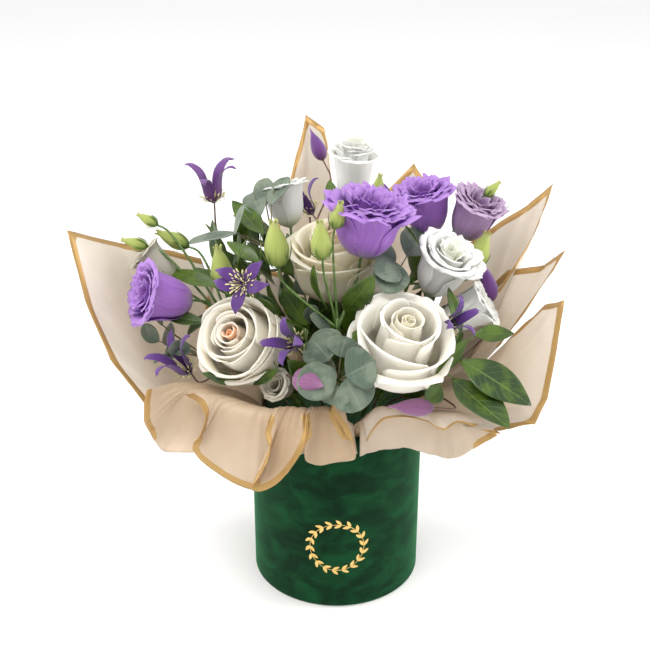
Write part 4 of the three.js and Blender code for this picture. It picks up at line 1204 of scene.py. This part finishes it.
def tube(points, radius, taper=1.0, sides=8, knots=0.0, seed=1):
    """The (points, faces, along) of a closed round tube on a smooth line, with slightly swollen knots."""
    count = max(6, int(len(points) * 7))
    line = smooth_through(np.array([tuple(p) for p in points]), count)
    ahead = np.gradient(line, axis=0)
    ahead /= np.linalg.norm(ahead, axis=1, keepdims=True)
    side = np.cross(ahead[0], [0.3, 0.2, 0.9])
    side /= np.linalg.norm(side)
    rings = []
    for i, (spot, way) in enumerate(zip(line, ahead)):
        side = side - way * (side @ way)
        side /= np.linalg.norm(side)
        other = np.cross(way, side)
        t = i / (count - 1)
        girth = radius * (1 + (taper - 1) * t) * (1 + knots * max(math.sin(t * 19 + seed), 0) ** 12)
        angles = 2 * np.pi * np.arange(sides) / sides
        rings.append(spot + girth * (np.cos(angles)[:, None] * side + np.sin(angles)[:, None] * other))
    all_points = np.concatenate([np.concatenate(rings), line[:1], line[-1:]])
    faces = []
    for r in range(count - 1):
        for i in range(sides):
            k = (i + 1) % sides
            faces.append((r * sides + i, r * sides + k, (r + 1) * sides + k, (r + 1) * sides + i))
    first, last = count * sides, count * sides + 1
    faces += [((i + 1) % sides, i, first) for i in range(sides)]
    top = (count - 1) * sides
    faces += [(top + i, top + (i + 1) % sides, last) for i in range(sides)]
    along = np.concatenate([np.repeat(np.linspace(0, 1, count), sides), [0, 1]])
    return all_points, faces, along


def joined_piece(name, parts, material, stands_for=()):
    """One piece from several (points, faces, along) parts."""
    points, faces, along, start = [], [], [], 0
    for spots, quads, way in parts:
        points.append(spots)
        along.append(way)
        faces += [tuple(start + i for i in quad) for quad in quads]
        start += len(spots)
    piece = mesh_object(name, np.concatenate(points), faces)
    set_attribute(piece.data, "along", np.concatenate(along))
    piece.data.materials.append(material)
    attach(piece, "arrangement")
    if stands_for:
        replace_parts(piece, *stands_for)
    return piece


def bark(name, low, high, scale, roughness):
    """A stem's skin: two tones in streaks along it, with fine ridges."""
    made, tree, shader = new_material(name, roughness)
    place = tree.nodes.new("ShaderNodeTexCoord")
    streak = add(tree, "ShaderNodeMapping", {"Scale": (1, 1, 0.18), "Vector": place.outputs["Object"]})
    grain = add(tree, "ShaderNodeTexNoise", {"Scale": scale, "Detail": 4, "Vector": streak.outputs["Vector"]})
    tones = ramp(tree, grain.outputs["Fac"], [(0.35, srgb(*low)), (0.65, srgb(*high))])
    tree.links.new(tones.outputs["Color"], shader.inputs["Base Color"])
    ridge = add(tree, "ShaderNodeBump", {"Strength": 0.3, "Distance": 0.0003, "Height": grain.outputs["Fac"]})
    tree.links.new(ridge.outputs["Normal"], shader.inputs["Normal"])
    return made


green_stem = bark("green_stem", (74, 104, 48), (112, 142, 76), 500, 0.5)
brown_vine = bark("brown_vine", (84, 52, 58), (122, 92, 78), 600, 0.6)
twig_skin = bark("twig_skin", (96, 92, 66), (132, 124, 96), 500, 0.65)
bud_green = petal_material("bud_petal_green", (104, 134, 54), (180, 192, 106), (216, 214, 150),
                           (112, 144, 62),
                           heart_reach=0.5, rim_share=0.7, veins=0.4, glow=0.25, sheen=0.05)

ROSES = {
    "rose_peach": ((-55, 45, 140), (-30, 50), 56),
    "rose_white": ((34, 42, 142), (18, 27), 60.5),
    "rose_cream": ((-170, 8, 142), (-10, 12), 66.2),
    "rose_back": ((160, 45, 134), (160, 38), 47.6),
}
for node, (where, face, high) in ROSES.items():
    line = [*stem_root(*where[:2]), *behind(where, face, high)]
    joined_piece(f"{node}_stalk", [tube(line, 2.6 * MM, 0.9, 10, 0.12)], green_stem,
                 [f"{node}_stem"])

# fork, then the stems to blooms (where, face, high, neck), then green buds (where, face, wide, high)
SPRAYS = {
    "spray_left": (
        (-86, 46, 140),
        [((-80, 50, 199), (-62, 72), 52, 14)],
        [((-100, 44, 250), (-98, 62), 10, 20), ((-97, 49, 244), (-95, 75), 11, 24),
         ((-103, 44, 222), (-100, 66), 15, 32), ((-80, 34, 184), (-60, 8), 20, 40)],
    ),
    "spray_mid": (
        (0, 24, 130),
        [((55, 9, 190), (60, 10), 52, 24)],
        [((-15, 16, 198), (-40, 6), 18, 34), ((0, 11, 212), (30, 20), 13, 26),
         ((-58, 19, 190), (-60, 6), 22, 42)],
    ),
    "spray_right": (
        (112, 30, 150),
        [((122, 28, 206), (-60, 12), 48, 14), ((108, 36, 220), (60, 24), 46, 14)],
        [((98, 40, 202), (95, 20), 20, 36), ((112, 34, 186), (90, 5), 13, 20),
         ((108, 36, 252), (100, 45), 9, 18)],
    ),
    "spray_white": ((80, 42, 100), [((84, 32, 172), (40, 30), 54, 14), ((84, 47, 158), (80, 58), 50, 14)],
                    []),
    "spray_top": (
        (178, 22, 140),
        [((172, 30, 226), (90, 4), 56, 14), ((-144, 24, 200), (-140, 20), 44, 14)],
        [((150, 21, 212), (80, 8), 13, 28)],
    ),
}


def branching(fork, blooms, buds, radius):
    """Tubes of a stem that forks to its blooms and buds."""
    root, leaves_foam = stem_root(*fork[:2])
    split = at_heart(*fork)
    start = leaves_foam.lerp(split, 0.9)
    parts = [tube([root, leaves_foam, split], radius, 0.9, 8, 0.15)]
    for where, face, high, neck in blooms:
        parts.append(tube([start, *behind(where, face, high, neck)], radius * 0.85, 0.8, 8, 0.1))
    for where, face, wide, high in buds:
        parts.append(tube([start, *behind(where, face, high, 12)], radius * 0.7, 0.75, 6, 0.1))
    return parts


for node, (fork, blooms, buds) in SPRAYS.items():
    joined_piece(f"{node}_stems", branching(fork, blooms, buds, 1.7 * MM), green_stem, [node])
    for i, (where, face, wide, high) in enumerate(buds):
        closed_bud(f"{node}_bud_{i}", where, face, wide, high * 1.04, bud_green, 5, 1.1,
                   40 + i, fullest=0.36, sepals=True, splay=0.16)

joined_piece("lisianthus_low_stem",
             [tube([*stem_root(-34, 54), *behind((-34, 54, 108), (-30, 54), 30)], 1.7 * MM)],
             green_stem)

VINES = {
    "vine_left": ((-80, 40, 120), [((-114, 31, 240), (-30, 5), 36, 30), ((-50, 34, 190), (-20, 68), 20, 14),
                                   ((-68, 62, 168), (-60, 38), 36, 14)]),
    "vine_front": ((-14, 50, 88), [((-24, 40, 148), (-30, 60), 34, 14), ((-12, 52, 142), (40, 80), 36, 14)]),
    "vine_back": ((-166, 34, 190), [((-173, 36, 266), (-130, 30), 34, 20)]),
    "vine_right": ((60, 62, 110), [((62, 36, 128), (70, 20), 40, 14), ((94, 47, 186), (-80, 12), 40, 22),
                                   ((30, 63, 136), (-75, 80), 42, 20)]),
}
for node, (fork, blooms) in VINES.items():
    joined_piece(f"{node}_stems", branching(fork, blooms, [], 1.1 * MM), brown_vine, [node])
joined_piece("vine_fine_stems", [
    *branching((-165, 30, 150), [((-165, 34, 205), (-60, 30), 32, 14)], [], 1.0 * MM),
    *branching((150, 30, 150), [((150, 33, 205), (30, 20), 32, 14)], [], 1.0 * MM),
    *branching((58, 40, 120), [((54, 44, 172), (50, 50), 32, 14)], [], 1.0 * MM),
], brown_vine)
joined_piece("lisianthus_side_stem",
             branching((-94, 46, 150), [((-98, 50, 214), (-95, 46), 42, 14)], [], 1.6 * MM),
             green_stem)

# ---------------------------------------------------------------- eucalyptus
# Round, powdery, blue-green leaves in pairs on thin grey-brown twigs. The blades are thick and matt, dished a
# little, with a pale midrib and a pinkish margin.


def leaf_part(base, tip, width, face, **shape):
    """A blade from its base to its tip whose face looks along `face`, as points in the object's frame."""
    base, tip, face = np.array(base), np.array(tip), np.array(face)
    along = tip - base
    length = float(np.linalg.norm(along))
    along /= length
    across = np.cross(along, face)
    across /= np.linalg.norm(across)
    out = np.cross(across, along)
    grid, u, v = blade_grid(length, width, **shape)
    placed = base + grid[..., :1] * across + grid[..., 1:2] * along + grid[..., 2:] * out
    return placed, u, v


def leaves_piece(name, leaves, material, slot_name, gauge=0.4, seed=1, **shape):
    """One piece of many blades, each ((turn, lean, reach) of its base, the same of its tip, width in mm)."""
    rng = np.random.default_rng(seed)
    petals = []
    for base, tip, width in leaves:
        foot, end = at_heart(*base), at_heart(*tip)
        face = ((foot + end) / 2 - HEART).normalized() + Vector((0, -0.25, 0.15))
        bend = rng.uniform(0.0, 0.16)
        grid, u, v = leaf_part(foot, end, width * MM, face, bend=bend * rng.choice([-0.5, 1]),
                               fold=rng.uniform(0.08, 0.3), wave=rng.uniform(0.0, 0.03),
                               turn=rng.uniform(0, 6),
                               rows=18, columns=10, **shape)
        petals.append((grid, u, v, 1.0, rng.random()))
    return bloom_piece(name, petals, None, None, material, gauge=gauge)


def leaf_material(name, light, dark, vein, margin, roughness, side_veins, glow=0.12, coat=0.0, powder=0.0,
                  marked=0.55):
    """A leaf: midrib and side veins in relief, mottled tone, a tinted margin, and a powdery bloom where it
    has one."""
    made, tree, shader = new_material(name, roughness, Sheen_Weight=powder, Coat_Weight=coat,
                                      Coat_Roughness=0.35)
    new, join = tree.nodes.new, tree.links.new

    def math_node(kind, a, b=0.5):
        return add(tree, "ShaderNodeMath", {0: a, 1: b}, operation=kind).outputs["Value"]

    def read(label):
        return add(tree, "ShaderNodeAttribute", {}, attribute_name=label).outputs["Fac"]

    def ranged(source, low, high):
        limits = {"From Min": low, "From Max": high}
        eased = add(tree, "ShaderNodeMapRange", {"Value": source, **limits}, interpolation_type="SMOOTHSTEP")
        return eased.outputs["Result"]

    off = math_node("ABSOLUTE", read("across"))
    midrib = ranged(off, 0.07, 0.015)
    slant = math_node("SUBTRACT", math_node("MULTIPLY", read("along"), side_veins),
                      math_node("MULTIPLY", off, 2.2))
    saw = math_node("PINGPONG", slant, 0.5)
    side = ranged(saw, 0.09, 0.01)
    veins = math_node("MAXIMUM", midrib, math_node("MULTIPLY", side, 0.45))
    place = new("ShaderNodeTexCoord")
    mottle = add(tree, "ShaderNodeTexNoise", {"Scale": 60, "Detail": 5, "Vector": place.outputs["Object"]})
    tones = add(tree, "ShaderNodeMix", {6: srgb(*dark), 7: srgb(*light)}, data_type="RGBA")
    blend = math_node("ADD", math_node("MULTIPLY", ranged(mottle.outputs["Fac"], 0.4, 0.62), 0.6),
                      math_node("MULTIPLY", read("tone"), 0.4))
    join(blend, tones.inputs[0])
    ribbed = add(tree, "ShaderNodeMix",
                 {0: math_node("MULTIPLY", veins, marked), 6: tones.outputs[2], 7: srgb(*vein)},
                 data_type="RGBA")
    edged = add(tree, "ShaderNodeMix",
                {0: math_node("MULTIPLY", ranged(off, 0.9, 1.0), 0.6), 6: ribbed.outputs[2],
                 7: srgb(*margin)}, data_type="RGBA")
    join(edged.outputs[2], shader.inputs["Base Color"])
    relief = add(tree, "ShaderNodeBump",
                 {"Strength": 0.5, "Distance": 0.0005,
                  "Height": math_node("SUBTRACT", math_node("MULTIPLY", mottle.outputs["Fac"], 0.3), veins)})
    join(relief.outputs["Normal"], shader.inputs["Normal"])
    lit = add(tree, "ShaderNodeBsdfTranslucent", {"Color": edged.outputs[2]})
    both = add(tree, "ShaderNodeMixShader", {"Fac": glow, 1: shader.outputs["BSDF"], 2: lit.outputs["BSDF"]})
    join(both.outputs["Shader"], tree.nodes["Material Output"].inputs["Surface"])
    return made


eucalyptus_leaf = leaf_material("eucalyptus_leaf", (126, 138, 118), (68, 88, 72), (144, 156, 136),
                                (112, 116, 92), 0.68, 6, powder=0.3, marked=0.35)
EUCALYPTUS = {
    "eucalyptus_front": ((0, 46, 112), [
        ((-4, 44, 142), (-14, 38, 150), 34), ((1, 43, 142), (4, 37, 150), 30),
        ((-1, 48, 145), (-15, 56, 150), 32),
        ((3, 50, 148), (15, 47, 158), 36), ((3, 51, 148), (9, 61, 140), 36),
        ((-1, 53, 145), (-3, 59, 140), 28),
        ((-6, 38, 130), (-9, 31, 138), 26),
    ]),
    "eucalyptus_right": ((62, 20, 150), [
        ((66, 19, 168), (35, 26, 165), 32), ((85, 21, 170), (118, 31, 185), 36),
        ((66, 19, 168), (68, 9, 172), 30),
        ((58, 22, 168), (33, 20, 168), 28),
    ]),
    "eucalyptus_left": ((-72, 58, 150), [
        ((-72, 59, 165), (-66, 58, 188), 14), ((-76, 60, 172), (-92, 61, 182), 18),
        ((-76, 62, 172), (-70, 65, 184), 16), ((-80, 62, 182), (-84, 61, 200), 16),
        ((-66, 57, 165), (-72, 59, 178), 14), ((-82, 61, 172), (-71, 62, 172), 16),
        ((-90, 61, 182), (-92, 57, 198), 16),
    ]),
    "eucalyptus_top": ((-112, 21, 180), [
        ((-107, 21, 200), (-128, 27, 224), 22), ((-116, 19, 205), (-145, 21, 222), 20),
        ((-98, 27, 195), (-85, 37, 215), 22), ((-123, 22, 205), (-131, 23, 229), 20),
        ((-96, 28, 195), (-96, 22, 215), 20),
    ]),
}


def sprig_stems(fork, leaves):
    """The twig to the fork, and a short stalk to each leaf."""
    root, leaves_foam = stem_root(*fork[:2])
    split = at_heart(*fork)
    start = leaves_foam.lerp(split, 0.9)
    parts = [tube([root, leaves_foam, split], 1.3 * MM, 0.8, 7, 0.2)]
    for base, tip, _ in leaves:
        foot, end = at_heart(*base), at_heart(*tip)
        parts.append(tube([start, foot.lerp(start, 0.3), foot.lerp(end, 0.08)], 0.9 * MM, 0.6, 6))
    return parts


for node, (fork, leaves) in EUCALYPTUS.items():
    leaves_piece(f"{node}_leaves", leaves, eucalyptus_leaf, "eucalyptus_leaf", 0.5, len(node), blunt=1,
                 fullest=0.5)
    joined_piece(f"{node}_twig", sprig_stems(fork, leaves), twig_skin, [node])

# ---------------------------------------------------------------- green foliage
# Dark green leaves on thin stalks between and under the flowers: broad pointed ones at the right, and small
# ones that fill the middle and cover the foam.

green_leaf = leaf_material("green_leaf", (84, 112, 16), (28, 56, 8), (108, 136, 56), (74, 102, 26), 0.38, 9,
                           glow=0.15, coat=0.15)
FOLIAGE = {
    "foliage_right": ((50, 52, 150), [
        ((48, 54, 168), (52, 69, 215), 34), ((45, 58, 158), (43, 73, 208), 34),
        ((56, 50, 178), (64, 55, 202), 15),
        ((54, 48, 172), (74, 36, 170), 13), ((53, 50, 176), (40, 56, 150), 12),
        ((42, 59, 150), (36, 63, 140), 18),
    ]),
    "foliage_left": ((-96, 38, 130), [
        ((-98, 38, 170), (-112, 36, 216), 14), ((-76, 32, 172), (-64, 26, 208), 15),
        ((-90, 45, 150), (-77, 56, 162), 24),
        ((-67, 37, 180), (-100, 50, 209), 14), ((-72, 48, 162), (-81, 55, 194), 12),
        ((-79, 43, 154), (-65, 55, 146), 24),
        ((-29, 49, 136), (-40, 57, 134), 10), ((-44, 58, 138), (-55, 60, 162), 10),
        ((-69, 24, 175), (-85, 29, 200), 14),
        ((-84, 20, 190), (-119, 30, 216), 18),
    ]),
    "foliage_back": ((-160, 46, 140), [
        ((-163, 46, 150), (-175, 55, 172), 28), ((-158, 46, 150), (-146, 55, 170), 28),
        ((-156, 42, 160), (-136, 44, 190), 26), ((-172, 4, 190), (-174, 17, 218), 14),
        ((85, 16, 180), (75, 10, 200), 16),
    ]),
}
for node, (fork, leaves) in FOLIAGE.items():
    leaves_piece(f"{node}_leaves", leaves, green_leaf, "green_leaf", 0.35, len(node) + 3)
    joined_piece(f"{node}_stalks", sprig_stems(fork, leaves), green_stem, [node])


def filler_group():
    """Leaves scattered on a dome. Each points out and up with its own tilt and size, the same on every
    run."""
    made, given, out = nodes_group(
        "leaves_on_a_dome",
        [("Leaf", "NodeSocketObject"), ("Density", "NodeSocketFloat"), ("Seed", "NodeSocketInt"),
         ("Smallest", "NodeSocketFloat"), ("Largest", "NodeSocketFloat"), ("Finish", "NodeSocketMaterial")],
    )
    new, join = made.nodes.new, made.links.new
    spread = add(made, "GeometryNodeDistributePointsOnFaces",
                 {"Mesh": given.outputs["Geometry"], "Distance Min": 0.008,
                  "Density Max": given.outputs["Density"], "Seed": given.outputs["Seed"]},
                  distribute_method="POISSON")
    stray = add(made, "FunctionNodeRandomValue",
                {0: (-0.75, -0.75, -0.35), 1: (0.75, 0.75, 0.75), "Seed": given.outputs["Seed"]},
                data_type="FLOAT_VECTOR")
    way = add(made, "ShaderNodeVectorMath", {0: spread.outputs["Normal"], 1: stray.outputs[0]},
              operation="ADD")
    heading = add(made, "FunctionNodeAlignRotationToVector", {"Vector": way.outputs["Vector"]}, axis="Y")
    roll = add(made, "FunctionNodeRandomValue",
               {0: (-0.3, -3.1, -0.3), 1: (0.3, 3.1, 0.3), "Seed": given.outputs["Seed"]},
               data_type="FLOAT_VECTOR")
    as_turn = add(made, "FunctionNodeEulerToRotation", {"Euler": roll.outputs[0]})
    turn = add(made, "FunctionNodeRotateRotation",
               {"Rotation": heading.outputs["Rotation"], "Rotate By": as_turn.outputs["Rotation"]},
               rotation_space="LOCAL")
    size = add(made, "FunctionNodeRandomValue",
               {2: given.outputs["Smallest"], 3: given.outputs["Largest"], "Seed": given.outputs["Seed"]})
    leaf = add(made, "GeometryNodeObjectInfo", {"Object": given.outputs["Leaf"]})
    placed = add(made, "GeometryNodeInstanceOnPoints",
                 {"Points": spread.outputs["Points"], "Instance": leaf.outputs["Geometry"],
                  "Rotation": turn.outputs["Rotation"], "Scale": size.outputs[1]})
    real = add(made, "GeometryNodeRealizeInstances", {"Geometry": placed.outputs["Instances"]})
    finish = add(made, "GeometryNodeSetMaterial",
                 {"Geometry": real.outputs["Geometry"], "Material": given.outputs["Finish"]})
    join(finish.outputs["Geometry"], out.inputs["Geometry"])
    return made


def leaf_pattern_of(name, length, width, **shape):
    """A blade that the scatter copies."""
    grid, u, v = blade_grid(length * MM, width * MM, rows=12, columns=6, **shape)
    pattern = mesh_object(name, grid.reshape(-1, 3), grid_faces(12, 6))
    for label, values in (("across", u), ("along", v), ("tone", np.full(u.shape, 0.5))):
        set_attribute(pattern.data, label, values)
    thick = pattern.modifiers.new("leaf_gauge", "SOLIDIFY")
    thick.thickness = 0.35 * MM
    return hidden(pattern)


def dome(name, reach, lean_low, lean_high, turn_low, turn_high, clear_of=()):
    """A patch of a sphere about the heart of the foam, to scatter on, with openings behind the big blooms."""
    points, faces, rows, columns = [], [], 20, 72
    for r in range(rows + 1):
        for c in range(columns + 1):
            points.append(at_heart(turn_low + (turn_high - turn_low) * c / columns,
                                   lean_low + (lean_high - lean_low) * r / rows, reach))
    for quad in grid_faces(rows, columns):
        middle = sum((points[i] for i in quad), Vector()) / 4 - HEART
        if all(math.degrees(middle.angle(turned_to(*where[:2]))) > room for where, room in clear_of):
            faces.append(quad[::-1])
    return mesh_object(name, points, faces)


filler = filler_group()
pointed_leaf = leaf_pattern_of("pointed_leaf_pattern", 44, 19, fold=0.22, bend=0.16, wave=0.02)
round_leaf = leaf_pattern_of("round_leaf_pattern", 26, 22, fold=0.1, bend=0.08, blunt=1, fullest=0.5)
BEHIND_BLOOMS = [(where, 24) for where, _, _ in ROSES.values()] + [
    ((-80, 50), 9), ((55, 9), 10), ((122, 28), 8), ((84, 32), 9), ((84, 47), 9), ((-34, 58), 8),
]
FILM_IN_FRONT = [((turn, 90), 31) for turn in range(-90, 91, 15)]
ALL_ROUND = (-180, 180)
for name, pattern, finish, slot_name, reach, leans, turns, clear_of, density, seed in (
    ("filler_leaves_low", pointed_leaf, green_leaf, "green_leaf", 76, (2, 64), ALL_ROUND, FILM_IN_FRONT,
     5600.0, 3),
    ("filler_leaves_high", pointed_leaf, green_leaf, "green_leaf", 104, (3, 58), ALL_ROUND, BEHIND_BLOOMS,
     4200.0, 8),
    ("filler_leaves_top", pointed_leaf, green_leaf, "green_leaf", 134, (3, 46), ALL_ROUND, BEHIND_BLOOMS,
     1500.0, 13),
    ("filler_leaves_rear", pointed_leaf, green_leaf, "green_leaf", 146, (6, 46), (100, 260), BEHIND_BLOOMS,
     2200.0, 21),
    ("filler_leaves_left", pointed_leaf, green_leaf, "green_leaf", 172, (10, 38), (-160, -76), BEHIND_BLOOMS,
     1500.0, 34),
    ("filler_eucalyptus", round_leaf, eucalyptus_leaf, "eucalyptus_leaf", 116, (10, 50), ALL_ROUND,
     BEHIND_BLOOMS, 800.0, 5),
):
    patch = dome(name, reach, *leans, *turns, clear_of)
    grow(patch, filler, leaf=pattern, density=density, seed=seed, smallest=0.65, largest=1.25, finish=finish)
    patch.data.shade_smooth()
    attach(patch, "arrangement")
